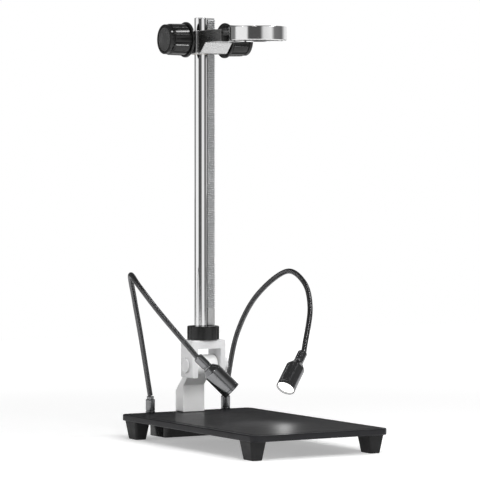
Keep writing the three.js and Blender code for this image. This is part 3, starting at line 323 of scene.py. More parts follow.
def piece(name, mesh, material, node, place=None, crisp=True):
    """Makes a shown piece that stands for a CAD node and rides on that node's body."""
    bmesh.ops.scale(mesh, vec=(MM, MM, MM), verts=mesh.verts)
    thing = to_object(name, mesh)
    thing.data.shade_smooth()
    thing.data.set_sharp_from_angle(angle=SHARP_ANGLE)
    thing.data.materials.append(material)
    if crisp:
        thing.modifiers.new("even_normals", "WEIGHTED_NORMAL").keep_sharp = True
    if place is not None:
        thing.matrix_world = place
    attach(thing, BODY_OF[node])
    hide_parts(node)
    return thing


# ---------------------------------------------------------------- materials

class Finish:
    """A Principled material whose colour, roughness and bump come from procedural noise."""

    def __init__(self, name, colour, roughness, metallic=0.0):
        self.material = bpy.data.materials.new(name)
        self.material.use_nodes = True
        self.tree = self.material.node_tree
        self.shader = self.tree.nodes["Principled BSDF"]
        self.shader.inputs["Base Color"].default_value = (*colour, 1)
        self.shader.inputs["Roughness"].default_value = roughness
        self.shader.inputs["Metallic"].default_value = metallic
        self.place = self.node("ShaderNodeTexCoord").outputs["Object"]
        self.height = None

    def node(self, kind, **settings):
        made = self.tree.nodes.new(kind)
        for key, value in settings.items():
            setattr(made, key, value)
        return made

    def link(self, output, node, socket):
        self.tree.links.new(output, node.inputs[socket])

    def noise(self, scale, detail=3.0, stretch=(1, 1, 1), rough=0.5):
        """Noise with features 1/scale metres across, stretched along each axis."""
        mapping = self.node("ShaderNodeMapping")
        mapping.inputs["Scale"].default_value = stretch
        self.link(self.place, mapping, "Vector")
        texture = self.node("ShaderNodeTexNoise")
        texture.inputs["Scale"].default_value = scale
        texture.inputs["Detail"].default_value = detail
        texture.inputs["Roughness"].default_value = rough
        self.link(mapping.outputs["Vector"], texture, "Vector")
        return texture.outputs["Fac"]

    def ranged(self, value, low, high, start=0.3, end=0.7):
        ramp = self.node("ShaderNodeMapRange")
        ramp.inputs["From Min"].default_value = start
        ramp.inputs["From Max"].default_value = end
        ramp.inputs["To Min"].default_value = low
        ramp.inputs["To Max"].default_value = high
        self.link(value, ramp, "Value")
        return ramp.outputs["Result"]

    def tint(self, value, dark, light):
        """Base colour from dark to light by value."""
        mix = self.node("ShaderNodeMix", data_type="RGBA")
        mix.inputs["A"].default_value = (*dark, 1)
        mix.inputs["B"].default_value = (*light, 1)
        self.link(value, mix, "Factor")
        self.link(mix.outputs["Result"], self.shader, "Base Color")
        return self

    def gloss(self, value, low, high):
        self.link(self.ranged(value, low, high), self.shader, "Roughness")
        return self

    def bump(self, value, depth, strength=1.0):
        """Adds relief of the given depth in metres."""
        relief = self.node("ShaderNodeBump")
        relief.inputs["Strength"].default_value = strength
        relief.inputs["Distance"].default_value = depth
        self.link(value, relief, "Height")
        if self.height is not None:
            self.link(self.height, relief, "Normal")
        self.height = relief.outputs["Normal"]
        self.link(self.height, self.shader, "Normal")
        return self

    def fixed(self, **values):
        """Sets constants on the shader's own sockets."""
        for key, value in values.items():
            self.shader.inputs[key.replace("_", " ")].default_value = value
        return self


def powder_coat():
    made = Finish("powder_coat_black", (0.012, 0.012, 0.013), 0.42)
    made.tint(made.noise(14), (0.010, 0.010, 0.011), (0.016, 0.016, 0.018))
    made.gloss(made.noise(60, 4), 0.4, 0.44)
    made.bump(made.noise(1500, 2), 0.00001)
    made.fixed(Specular_IOR_Level=0.1, Coat_Weight=0.12, Coat_Roughness=0.14)
    return made.material


def mat_surface():
    made = Finish("mat_black", (0.014, 0.014, 0.015), 0.5)
    made.tint(made.noise(22, 4), (0.016, 0.016, 0.017), (0.024, 0.024, 0.025))
    made.gloss(made.noise(90, 4), 0.46, 0.5)
    made.bump(made.noise(2600, 2), 0.000002)
    made.fixed(Specular_IOR_Level=0.1, Coat_Weight=0.16, Coat_Roughness=0.12)
    return made.material


def foot_rubber():
    made = Finish("foot_rubber", (0.012, 0.012, 0.012), 0.55)
    made.tint(made.noise(60, 5), (0.008, 0.008, 0.008), (0.017, 0.017, 0.018))
    made.gloss(made.noise(120, 4), 0.45, 0.62)
    made.bump(made.noise(1800, 3), 0.00005)
    made.fixed(Specular_IOR_Level=0.16, Coat_Weight=0.05, Coat_Roughness=0.2)
    return made.material


def gloss_plastic(name, shade, roughness):
    made = Finish(name, (shade,) * 3, roughness)
    made.fixed(Specular_IOR_Level=0.22, Coat_Weight=0.3, Coat_Roughness=0.08)
    made.tint(made.noise(40, 3), (shade * 0.8,) * 3, (shade * 1.3,) * 3)
    made.gloss(made.noise(150, 4), roughness - 0.04, roughness + 0.06)
    made.bump(made.noise(2200, 2), 0.000006)
    return made.material


def white_paint():
    made = Finish("white_paint", (0.84, 0.84, 0.835), 0.38)
    made.tint(made.noise(35, 4), (0.80, 0.80, 0.797), (0.87, 0.87, 0.865))
    made.gloss(made.noise(80, 4), 0.32, 0.46)
    made.bump(made.noise(700, 2), 0.00002)
    made.fixed(Coat_Weight=0.25, Coat_Roughness=0.2)
    return made.material


def blasted_metal():
    made = Finish("blasted_aluminium", (0.72, 0.72, 0.725), 0.5, 0.12)
    made.tint(made.noise(45, 5), (0.68, 0.68, 0.685), (0.75, 0.75, 0.755))
    made.gloss(made.noise(300, 4), 0.42, 0.58)
    made.bump(made.noise(3200, 2), 0.00004)
    return made.material


def chrome():
    made = Finish("hard_chrome", (0.86, 0.86, 0.865), 0.07, 1.0)
    made.tint(made.noise(30, 4, (1, 1, 0.2)), (0.82, 0.82, 0.825), (0.9, 0.9, 0.905))
    made.gloss(made.noise(500, 4, (1, 1, 0.04)), 0.05, 0.11)
    made.bump(made.noise(900, 2, (1, 1, 0.02)), 0.000003)
    return made.material


def rack_steel():
    made = Finish("rack_steel", (0.56, 0.565, 0.57), 0.4, 0.9)
    made.tint(made.noise(90, 5), (0.5, 0.505, 0.51), (0.6, 0.605, 0.61))
    made.gloss(made.noise(400, 4, (1, 1, 0.1)), 0.3, 0.44)
    made.bump(made.noise(2500, 3, (0.05, 1, 1)), 0.00003)
    return made.material


def satin_aluminium(name, stretch, shade=0.72, roughness=0.2):
    """Aluminium with the fine parallel marks of its last cut: small stretch runs along them."""
    made = Finish(name, (shade,) * 3, roughness, 1.0)
    made.tint(made.noise(50, 4), (shade * 0.94,) * 3, (shade * 1.05,) * 3)
    made.gloss(made.noise(1600, 3, stretch), roughness - 0.03, roughness + 0.04)
    made.bump(made.noise(3800, 3, stretch), 0.0000015)
    return made.material


def fastener_steel():
    made = Finish("plated_steel", (0.5, 0.5, 0.51), 0.28, 1.0)
    made.tint(made.noise(200, 4), (0.42, 0.42, 0.43), (0.58, 0.58, 0.59))
    made.gloss(made.noise(700, 4), 0.22, 0.38)
    made.bump(made.noise(3000, 2), 0.00001)
    return made.material


def brass():
    made = Finish("machined_brass", (0.7, 0.48, 0.2), 0.26, 1.0)
    made.tint(made.noise(150, 4), (0.62, 0.41, 0.15), (0.76, 0.54, 0.24))
    made.gloss(made.noise(800, 3, (0.2, 0.2, 1)), 0.2, 0.36)
    made.bump(made.noise(2800, 2, (0.05, 0.05, 1)), 0.00002)
    return made.material


def gunmetal():
    made = Finish("gunmetal", (0.2, 0.202, 0.207), 0.16, 1.0)
    made.tint(made.noise(80, 4), (0.18, 0.182, 0.187), (0.22, 0.222, 0.227))
    made.gloss(made.noise(900, 3, (0.08, 0.08, 1)), 0.11, 0.22)
    made.bump(made.noise(3600, 2, (0.03, 0.03, 1)), 0.000008)
    return made.material


def neck_metal():
    made = Finish("neck_black", (0.1, 0.1, 0.102), 0.22, 0.95)
    made.tint(made.noise(120, 4), (0.085, 0.085, 0.087), (0.11, 0.11, 0.113))
    made.gloss(made.noise(500, 4), 0.18, 0.3)
    made.bump(made.noise(2400, 2), 0.00002)
    return made.material


def nylon():
    made = Finish("nylon", (0.78, 0.78, 0.75), 0.5)
    made.tint(made.noise(120, 4), (0.72, 0.72, 0.69), (0.82, 0.82, 0.79))
    made.gloss(made.noise(400, 3), 0.42, 0.58)
    made.bump(made.noise(2600, 2), 0.00002)
    return made.material


def circuit_board():
    made = Finish("solder_mask", (0.01, 0.1, 0.035), 0.4)
    tracks = made.node("ShaderNodeTexBrick", offset=0.5, squash=1.0)
    tracks.inputs["Scale"].default_value = 220
    tracks.inputs["Mortar Size"].default_value = 0.06
    tracks.inputs["Color1"].default_value = (0.008, 0.085, 0.03, 1)
    tracks.inputs["Color2"].default_value = (0.01, 0.1, 0.035, 1)
    tracks.inputs["Mortar"].default_value = (0.02, 0.16, 0.06, 1)
    made.link(made.place, tracks, "Vector")
    made.link(tracks.outputs["Color"], made.shader, "Base Color")
    made.gloss(made.noise(300, 3), 0.3, 0.5)
    made.bump(tracks.outputs["Fac"], 0.00003)
    return made.material


def lit_lens():
    made = Finish("lit_lens", (0.95, 0.95, 0.93), 0.15)
    made.tint(made.noise(300, 2), (0.93, 0.93, 0.91), (0.97, 0.97, 0.95))
    made.gloss(made.noise(600, 2), 0.1, 0.2)
    made.bump(made.noise(900, 2), 0.00004)
    made.fixed(Emission_Color=(1.0, 0.99, 0.97, 1), Emission_Strength=2.4, Coat_Weight=0.5)
    return made.material


FINISH = {
    "black_plate": powder_coat(),
    "black_mat": mat_surface(),
    "foot_rubber": foot_rubber(),
    "black_plastic": gloss_plastic("moulded_black", 0.007, 0.2),
    "knob_black": gloss_plastic("knob_black", 0.006, 0.17),
    "knob_cap_grey": gloss_plastic("cap_grey", 0.05, 0.26),
    "end_plate_black": gloss_plastic("satin_black", 0.014, 0.32),
    "circuit_board": circuit_board(),
    "inlet_metal": fastener_steel(),
    "white_paint": white_paint(),
    "clevis_grey": blasted_metal(),
    "fastener_steel": fastener_steel(),
    "rod_chrome": chrome(),
    "rack_steel": rack_steel(),
    "satin_aluminium": satin_aluminium("milled_aluminium", (1, 0.05, 1), 0.5, 0.27),
    "brass": brass(),
    "nylon_white": nylon(),
    "gunmetal": gunmetal(),
    "neck_metal": neck_metal(),
    "lens_clear": lit_lens(),
}
TURNED_ALUMINIUM = satin_aluminium("turned_aluminium", (0.03, 0.03, 1), 0.8, 0.11)


def dress_cad_nodes():
    """Every CAD node gets its slot's finish, so that one that stays in view is finished too."""
    for node, thing in frame["nodes"].items():
        for slot in thing.material_slots:
            slot.material = FINISH[SLOT_OF[node]]


def shown(name, mesh, node, **options):
    return piece(name, mesh, FINISH[SLOT_OF[node]], node, **options)


# ---------------------------------------------------------------- fasteners

def socket_screw(head, height, shank, length):
    """Cap screw along +Z: its head hangs below z = 0, with a hexagon socket in its face."""
    body = turned([
        (0, -height, 0), (head, -height, 0.35), (head, 0, 0.1),
        (shank, 0, 0.2), (shank, length, 0.4), (0, length, 0),
    ], 36, 2)
    return combined(body, [cylinder(head * 0.5, -height - 1, -height + height * 0.6, 6)])


def screw_from_box(node, head, height, shank, direction):
    """A screw that fills its CAD node's box, with its head towards direction."""
    low, high = box_mm(node)
    centre = (low + high) / 2
    axis = Vector(direction)
    length = abs((high - low).dot(axis)) - height
    seat = centre + axis * (abs((high - low).dot(axis)) / 2 - height)
    turn = (-axis).to_track_quat("Z", "Y").to_matrix().to_4x4()
    mesh = placed(socket_screw(head, height, shank, length), Matrix.Translation(seat) @ turn)
    return shown(node + "_detail", mesh, node)


def make_screws():
    down, right = (0, 0, -1), (1, 0, 0)
    for corner in ("front_left", "front_right", "rear_left", "rear_right"):
        screw_from_box("foot_screw_" + corner, 3.6, 2.2, 1.7, down)
    for side, _ in SIDES:
        screw_from_box("driver_screw_" + side, 2.6, 1.6, 1.2, down)
        screw_from_box("pedestal_screw_" + side, 3.6, 2.2, 2.0, down)
    for end in ("lower", "upper"):
        screw_from_box("rack_screw_" + end, 1.9, 1.6, 1.1, right)
    screw_from_box("column_bolt", 4.6, 2.4, 2.5, down)


# ---------------------------------------------------------------- base plate, mat, feet and driver

PLATE_CORNER = 8
PLATE_EDGE = 1.1
MAT_CORNER = 5
MAT_GAP = 0.3
MAT_DEPTH = 1.2
FOOT_CORNER = 2.6
FOOT_FILLET = 0.8
FOOT_FILLET_STEPS = 4
FOOT_BOTTOM = (12, 19)
FOOT_TOP = (18, 24)
FOOT_RECESS = (3.9, 6)


def make_plate():
    low, high = box_mm("base_plate")
    plate = prism(footprint(low, high, PLATE_CORNER, 10), low.z, high.z, PLATE_EDGE)
    mat_low, mat_high = box_mm("work_mat")
    recess = prism(footprint(mat_low, mat_high, MAT_CORNER + MAT_GAP, 8, MAT_GAP),
                   high.z - MAT_DEPTH, high.z + 2, 0.2)
    tools = [recess]
    for side, _ in SIDES:
        centre = middle("pedestal_screw_" + side)
        tools.append(shifted(cylinder(3.9, low.z - 1, low.z + 2.8), centre.x, centre.y, 0))
        centre = middle("post_nut_" + side)
        tools.append(shifted(cylinder(3.3, low.z - 1, high.z + 1), centre.x, centre.y, 0))
    shown("base_plate_shell", combined(plate, tools), "base_plate")
    mat = prism(footprint(mat_low, mat_high, MAT_CORNER, 8), mat_low.z, mat_high.z, 0.35)
    shown("work_mat_sheet", mat, "work_mat")


def make_foot(corner):
    node = "foot_" + corner
    low, high = box_mm(node)
    centre = (low + high) / 2
    turns = [math.radians(90 * i / FOOT_FILLET_STEPS) for i in range(FOOT_FILLET_STEPS + 1)]
    levels = [(FOOT_FILLET * (1 - math.sin(t)), low.z + FOOT_FILLET * (1 - math.cos(t))) for t in turns]
    levels.append((0, high.z))
    rings = []
    for side, z in levels:
        share = (z - low.z) / (high.z - low.z)
        width = FOOT_BOTTOM[0] + (FOOT_TOP[0] - FOOT_BOTTOM[0]) * share - 2 * side
        length = FOOT_BOTTOM[1] + (FOOT_TOP[1] - FOOT_BOTTOM[1]) * share - 2 * side
        outline = centred(0, 0, width / 2, length / 2, FOOT_CORNER - side, 6)
        rings.append([(centre.x + x, centre.y + y, z) for x, y in outline])
    radius, depth = FOOT_RECESS
    recess = shifted(turned([(0, -1, 0), (radius, -1, 0), (radius, depth, 0.3), (0, depth, 0)], 40),
                     centre.x, centre.y, low.z)
    shown(node + "_moulding", combined(loft(rings), [recess]), node)


DRIVER_CORNER = 5
DRIVER_WALL = 2


def make_driver():
    low, high = box_mm("driver_housing")
    shell = prism(footprint(low, high, DRIVER_CORNER, 10), low.z, high.z, 0.7)
    wall = DRIVER_WALL
    hollow = prism(footprint(low, high, DRIVER_CORNER - wall, 6, -wall), low.z + wall, high.z + 2, 0.3)
    inlet_low, inlet_high = box_mm("power_inlet")
    gap = 0.25
    opening = rectangle(inlet_low.x - gap, inlet_high.x + gap, inlet_high.y - 3, inlet_high.y + 3, 0.2, 2)
    window = prism(opening, inlet_low.z - gap, inlet_high.z + gap, 0.1)
    tools = [hollow, window]
    for side, _ in SIDES:
        centre = middle("driver_screw_" + side)
        tools.append(shifted(cylinder(2.9, low.z - 1, low.z + 1.9, 36), centre.x, centre.y, 0))
    groove = 0.35
    around = prism(footprint(low, high, DRIVER_CORNER + 1, 10, 1), high.z - 2.2, high.z - 1.8, 0.05)
    core = prism(footprint(low, high, DRIVER_CORNER - groove, 10, -groove), low.z - 1, high.z + 1, 0.05)
    parting = combined(around, [core])
    shown("driver_case", combined(shell, [*tools, parting]), "driver_housing")


def make_inlet():
    low, high = box_mm("power_inlet")
    centre = (low + high) / 2
    shell = along_y(rectangle(low.x, high.x, low.z, high.z, 0.8, 4), low.y, high.y, 0.3)
    mouth = along_y(centred(centre.x, centre.z, 4.5, 2.5, 0.5, 3), high.y - 6.5, high.y + 1, 0.1)
    tongue = along_y(centred(centre.x, centre.z, 3.2, 0.7, 0.2, 2), high.y - 6.6, high.y - 1, 0.1)
    contacts = []
    for x in (-2.25, -0.75, 0.75, 2.25):
        strip = rectangle(centre.x + x - 0.35, centre.x + x + 0.35, centre.z + 0.7, centre.z + 0.95, 0.05, 1)
        contacts.append(along_y(strip, high.y - 6.6, high.y - 1.5, 0.05))
    shown("power_inlet_socket", together(combined(shell, [mouth]), tongue, *contacts), "power_inlet")


# ---------------------------------------------------------------- pedestal, clevis and column

PEDESTAL_DEPTH = 17.5
FRONT_CREASE = 29
REAR_CREASE = 22.5
CREASE_FILLET = 1.6
CHEEK = 6.3
BRIDGE = 9
PIN_HOLE = 4.1
SEAT_GAP = 0.3  # left between pieces that rest on each other
HINGE_KNURLS = 30


def make_pedestal():
    low, high = box_mm("pedestal")
    pivot = joint_mm("column_tilt")
    knuckle = high.z - pivot.z
    rear = high.y
    front = rear - PEDESTAL_DEPTH
    front_crease = low.z - SEAT_GAP + FRONT_CREASE
    rear_crease = low.z - SEAT_GAP + REAR_CREASE
    leg = filleted([
        (front, low.z, 0.6), (rear, low.z, 0.6), (rear, rear_crease, CREASE_FILLET),
        (pivot.y + 2, rear + rear_crease - pivot.y - 2, 0),
        (pivot.y - 2, front + front_crease - pivot.y + 2, 0),
        (front, front_crease, CREASE_FILLET),
    ], steps=8)
    half = high.x
    body = along_x(leg, -half, half, 1.0)
    eye = along_x(circle(knuckle, 96, (pivot.y, pivot.z)), -half, half, 1.0)
    whole = combined(body, [eye], "UNION")
    washer_x = box_mm("hinge_washer_right")[0].x - 0.3
    tools = [peg(PIN_HOLE, pivot, -half - 1, half + 1)]
    tools += pegs_at_ends(8.3, pivot, washer_x, half + 2)
    shown("pedestal_casting", combined(whole, tools), "pedestal")


def make_clevis():
    low, high = box_mm("column_clevis")
    pivot = joint_mm("column_tilt")
    inner = high.x - CHEEK
    roof = high.z - BRIDGE
    block = along_y(rectangle(low.x, high.x, low.z, high.z, 1.8), low.y, high.y, 1.0)
    floor = low.z - 2
    window = filleted([(-inner, floor, 0), (inner, floor, 0), (inner, roof, 1.2), (-inner, roof, 1.2)])
    block = combined(block, [along_y(window, low.y - 1, high.y + 1)])
    bore = peg(PIN_HOLE, pivot, low.x - 1, high.x + 1)
    rod_low, rod_high = box_mm("column_rod")
    rod = (rod_low + rod_high) / 2
    socket = shifted(cylinder(rod_high.x + 0.3, rod_low.z - 0.3, high.z + 1, 64), rod.x, rod.y, 0)
    bolt = shifted(cylinder(2.8, roof - 1, high.z), rod.x, rod.y, 0)
    head = shifted(cylinder(4.9, roof - 1, box_mm("column_bolt")[0].z + 2.7), rod.x, rod.y, 0)
    # a fine turned ring round each end of the hinge pin
    rings = []
    for sign in (-1, 1):
        x0, x1 = sorted((sign * (high.x - 0.35), sign * (high.x + 1)))
        outer = prism(circle(9.3, 80, (pivot.y, pivot.z)), x0, x1, 0)
        inner = prism(circle(8.75, 80, (pivot.y, pivot.z)), x0 - 1, x1 + 1, 0)
        rings.append(placed(combined(outer, [inner]), ALONG_X))
    shown("clevis_block", combined(block, [bore, socket, bolt, head, *rings]), "column_clevis")


def make_hinge():
    pivot = joint_mm("column_tilt")
    at = Matrix.Translation(pivot)
    low, high = box_mm("hinge_cap")
    radius = (high.y - low.y) / 2
    face = -low.x
    cap = turned([(0, -high.x + pivot.x, 0), (radius, -high.x, 0.05), (radius, face, 0.45),
                  (radius * 0.72, face, 0.2), (radius * 0.68, face - 0.25, 0.1), (0, face - 0.25, 0)], 80)
    shown("hinge_cap_disc", placed(cap, at @ Matrix.Rotation(math.radians(-90), 4, "Y")), "hinge_cap")

    low, high = box_mm("hinge_clamp_knob")
    outer = (high.y - low.y) / 2
    levels = ((low.x, 0.7, 0), (low.x + 0.25, 0.25, 0.2), (low.x + 0.8, 0, 1), (high.x - 1.0, 0, 1),
              (high.x - 0.4, 0.25, 0.2), (high.x - 0.1, 0.75, 0), (high.x, 1.6, 0))
    levels = [(x, outer - drop, cut) for x, drop, cut in levels]
    grip = knurled(levels, pivot, 4 * HINGE_KNURLS,
                   lambda radius, cut, i: radius - cut * (0.28 if i % 4 in (0, 1) else 0.0))
    dimple = placed(turned([(0, -0.8, 0), (3.4, -0.8, 0.3), (3.8, 1, 0), (0, 1, 0)], 48),
                    Matrix.Translation((high.x, pivot.y, pivot.z)) @ Z_TO_X)
    bore = peg(PIN_HOLE, pivot, low.x - 1, low.x + 4.3)
    shown("hinge_knob_grip", combined(grip, [dimple, bore]), "hinge_clamp_knob")

    low, high = box_mm("hinge_pin")
    pin = bar(3.99, low.x, high.x, 0.4, 56)
    shown("hinge_pin_shaft", placed(pin, at @ Z_TO_X), "hinge_pin")
    for side, _ in SIDES:
        node = "hinge_washer_" + side
        low, high = box_mm(node)
        ring = along_x(circle(8, 72, (pivot.y, pivot.z)), low.x, high.x, 0.2)
        hole = peg(PIN_HOLE, pivot, low.x - 1, high.x + 1)
        shown(node + "_ring", combined(ring, [hole]), node)


def make_column():
    rod_low, rod_high = box_mm("column_rod")
    rod = (rod_low + rod_high) / 2
    radius = (rod_high.x - rod_low.x) / 2
    top = rod_high.z
    shaft = turned([(0, rod_low.z, 0), (radius, rod_low.z, 0.3), (radius, top, 0.5), (3.2, top, 0.1),
                    (2.4, top - 0.9, 0.1), (0, top - 0.9, 0)], 96)
    shown("column_rod_shaft", shifted(shaft, rod.x, rod.y, 0), "column_rod")

    low, high = box_mm("column_collar")
    centre = (low + high) / 2
    outer = (high.x - low.x) / 2
    collar = turned([(0, low.z, 0), (outer, low.z, 0.5), (outer, high.z, 0.9), (0, high.z, 0)], 112, 5)
    bore = cylinder(radius + 0.3, low.z - 1, high.z + 1, 80)
    bore = shifted(bore, rod.x - centre.x, rod.y - centre.y, 0)
    shown("column_collar_ring", shifted(combined(collar, [bore]), centre.x, centre.y, 0), "column_collar")

    low, high = box_mm("rack_foot")
    shown("rack_foot_block", prism(footprint(low, high, 0.6, 3), low.z, high.z, 0.45), "rack_foot")


TOOTH_MODULE = 0.7
PINION_TEETH = 20
TOOTH_PITCH = math.pi * TOOTH_MODULE
PITCH_RADIUS = PINION_TEETH * TOOTH_MODULE / 2
HALF_TOOTH = 0.21 * TOOTH_PITCH  # at the pitch line, with backlash
FLANK_SLOPE = math.tan(math.radians(20))
ADDENDUM = TOOTH_MODULE
DEDENDUM = 1.25 * TOOTH_MODULE
TOOTH_LAND = 0.06


def make_rack():
    """Toothed bar: its teeth are the CAD bar's, with a flank and a land each, and softened rims."""
    low, high = box_mm("column_rack")
    pinion = joint_mm("focus_spin")
    line = pinion.y + PITCH_RADIUS
    tip, root = line - ADDENDUM, line + DEDENDUM
    half_tip = HALF_TOOTH - FLANK_SLOPE * ADDENDUM
    half_root = HALF_TOOTH + FLANK_SLOPE * DEDENDUM
    land = TOOTH_LAND
    outline = [(high.y, low.z + 0.3), (high.y, high.z - 0.3), (high.y - 0.3, high.z), (root, high.z)]
    first = math.floor((high.z - half_root - pinion.z) / TOOTH_PITCH - 0.5)
    last = math.ceil((low.z + half_root - pinion.z) / TOOTH_PITCH - 0.5)
    for tooth in range(first, last - 1, -1):
        z = pinion.z + (tooth + 0.5) * TOOTH_PITCH
        outline += [(root, z + half_root), (tip + land, z + half_tip + 0.02), (tip, z + half_tip - land),
                    (tip, z - half_tip + land), (tip + land, z - half_tip - 0.02), (root, z - half_root)]
    outline += [(root, low.z), (high.y - 0.3, low.z)]
    blank = placed(loft([[(y, z, x) for y, z in outline] for x in (low.x, high.x)]), ALONG_X)
    bmesh.ops.recalc_face_normals(blank, faces=blank.faces)
    tools = []
    for end in ("lower", "upper"):
        centre = middle("rack_screw_" + end)
        tools.append(peg(2.2, centre, high.x - 2.2, high.x + 1, 40))
    shown("column_rack_bar", combined(blank, tools), "column_rack", crisp=False)


# ---------------------------------------------------------------- carriage

ARM_HALF = 16
ARM_DEPTH = 13
GUSSET_REACH = 38
TANG_POCKET = (10.3, 4.5)  # half width and half height
BLOCK_FRONT = 21.7
PINION_POCKET = 8.1


def rack_channel():
    low, high = box_mm("column_rack")
    arm_low, arm_high = box_mm("carriage_arm")
    plan = rectangle(0, high.x + 0.4, low.y - 0.4, high.y + 0.4, 0.3, 3)
    return prism(plan, arm_low.z - 1, arm_high.z + 1, 0)


def pinion_pocket():
    low, high = box_mm("drive_pinion")
    centre = (low + high) / 2
    return peg(PINION_POCKET, centre, low.x - 0.3, high.x + 0.3, 72)


def make_carriage():
    low, high = box_mm("carriage_arm")
    rod = middle("column_rod")
    radius = (box_mm("column_rod")[1].x - box_mm("column_rod")[0].x) / 2
    drop = high.z - low.z - ARM_DEPTH
    arm_low = high.z - ARM_DEPTH
    gusset = rod.y - GUSSET_REACH
    inside = rod.y - BLOCK_FRONT + 4
    profile = filleted([
        (low.y, high.z, 0.3), (low.y, arm_low, 0.3), (gusset, arm_low, 2.0), (gusset + drop, low.z, 1.2),
        (inside, low.z, 0), (inside, high.z, 0),
    ], steps=5)
    arm = along_x(profile, -ARM_HALF, ARM_HALF, 0.7)
    block = prism(rectangle(low.x, high.x, rod.y - BLOCK_FRONT, high.y, 2.2, 6), low.z, high.z, 0.7)
    whole = combined(arm, [block], "UNION")
    bore = shifted(cylinder(radius + 0.6, low.z - 1, high.z + 1, 80), rod.x, rod.y, 0)
    seats = []
    for node in ("guide_bush_lower", "guide_bush_upper"):
        bush_low, bush_high = box_mm(node)
        z0 = low.z - 1 if node.endswith("lower") else bush_low.z - 0.3
        z1 = high.z + 1 if node.endswith("upper") else bush_high.z + 0.3
        seats.append(shifted(cylinder(radius + 2.3, z0, z1, 80), rod.x, rod.y, 0))
    pinion = joint_mm("focus_spin")
    shaft = peg(2.55, pinion, low.x - 1, high.x + 1, 40)
    faces = pegs_at_ends(6.2, pinion, high.x - 0.5, high.x + 1)
    wide, tall = TANG_POCKET
    level = (arm_low + high.z) / 2
    tang = prism(rectangle(-wide, wide, low.y - 1, low.y + 9.3, 0.3, 2), level - tall, level + tall, 0.05)
    whole = combined(whole, [bore, *seats, rack_channel(), pinion_pocket(), shaft, *faces, tang])
    shown("carriage_body", whole, "carriage_arm")

    for node in ("guide_bush_lower", "guide_bush_upper"):
        bush_low, bush_high = box_mm(node)
        ring = bar(radius + 1.98, bush_low.z, bush_high.z, 0.3, 96)
        hole = cylinder(radius + 0.1, bush_low.z - 1, bush_high.z + 1, 96)
        bush = shifted(combined(ring, [hole]), rod.x, rod.y, 0)
        shown(node + "_ring", combined(bush, [rack_channel(), pinion_pocket()]), node)

    low, high = box_mm("arm_end_plate")
    centre = (low + high) / 2
    plate = along_y(rectangle(low.x, high.x, low.z, high.z, 1.0, 4), low.y, high.y, 0.5)
    plan = rectangle(-wide, wide, low.y - 1, high.y + 1, 0.3, 2)
    window = prism(plan, centre.z - tall, centre.z + tall, 0.05)
    shown("arm_end_cap", combined(plate, [window]), "arm_end_plate")


RING_BORE = 25
RING_WALL = 4.5
TANG_HALF = 10
RING_SLIT = 1
SCREW_KNURLS = 18


def make_ring():
    low, high = box_mm("split_ring")
    tall = high.z - low.z
    outer = RING_BORE + RING_WALL
    place = Vector((0, low.y + outer, low.z))
    lug_end = box_mm("arm_end_plate")[0].y - 0.3 - place.y
    start = math.degrees(math.acos(TANG_HALF / outer))
    lug = filleted([(TANG_HALF, 0, 0), (TANG_HALF, lug_end, 0.6),
                    (-TANG_HALF, lug_end, 0.6), (-TANG_HALF, 0, 0)], closed=False)[1:-1]
    ring = prism(lug + arc((0, 0), outer, 180 - start, 360 + start, 140), 0, tall, 0.8, 5)
    root = prism(rectangle(-TANG_HALF, TANG_HALF, RING_BORE + 2, high.y - place.y, 0.3, 2), tall / 2 - 4.2,
                 tall / 2 + 4.2, 0.2)
    ring = combined(ring, [root], "UNION")
    bore = turned([(0, -1, 0), (RING_BORE + 1.4, -1, 0), (RING_BORE + 0.7, 0, 0), (RING_BORE, 0.7, 0),
                   (RING_BORE, tall - 0.7, 0), (RING_BORE + 0.7, tall, 0), (RING_BORE + 1.4, tall + 1, 0),
                   (0, tall + 1, 0)], 144)
    slit = prism(rectangle(-RING_SLIT, RING_SLIT, 0, lug_end - 1.5, 0.2, 2), -1, tall + 1, 0)
    screw = joint_mm("ring_screw_turn") - place
    hole = peg(1.8, screw, -30, 30, 32)
    step = peg(3.1, screw, -TANG_HALF - 1, -TANG_HALF + 0.5)
    ring = shifted(combined(ring, [bore, slit, hole, step]), *place)
    piece("split_ring_body", ring, TURNED_ALUMINIUM, "split_ring")

    low, high = box_mm("ring_clamp_screw")
    at = joint_mm("ring_screw_turn")
    head = -TANG_HALF - 0.3
    levels = ((low.x, 1.7, 0), (low.x + 0.3, 2.15, 0), (low.x + 0.8, 2.4, 1), (head - 0.7, 2.4, 1),
              (head - 0.3, 2.2, 0), (head, 1.5, 0), (high.x - 0.4, 1.5, 0), (high.x, 1.1, 0))
    grip = knurled(levels, at, 2 * SCREW_KNURLS, lambda reach, cut, i: reach - (0.2 * cut if i % 2 else 0))
    socket = peg(1.1, at, low.x - 1, low.x + 1.6, 6)
    shown("clamp_screw_detail", combined(grip, [socket]), "ring_clamp_screw")


# ---------------------------------------------------------------- focus drive

KNOB_FLUTES = 10
KNOB_STEPS = 24  # points round each flute
GROOVE_SHARE = 0.15  # half width of a groove, over the flutes' pitch
GROOVE_DEPTH = 1.5


def groove(turn):
    """Depth share of the knob's grooves at a turn counted in flutes."""
    off = abs((turn + 0.5) % 1 - 0.5)
    if off > GROOVE_SHARE:
        return 0.0
    return math.cos(off / GROOVE_SHARE * math.pi / 2) ** 0.8


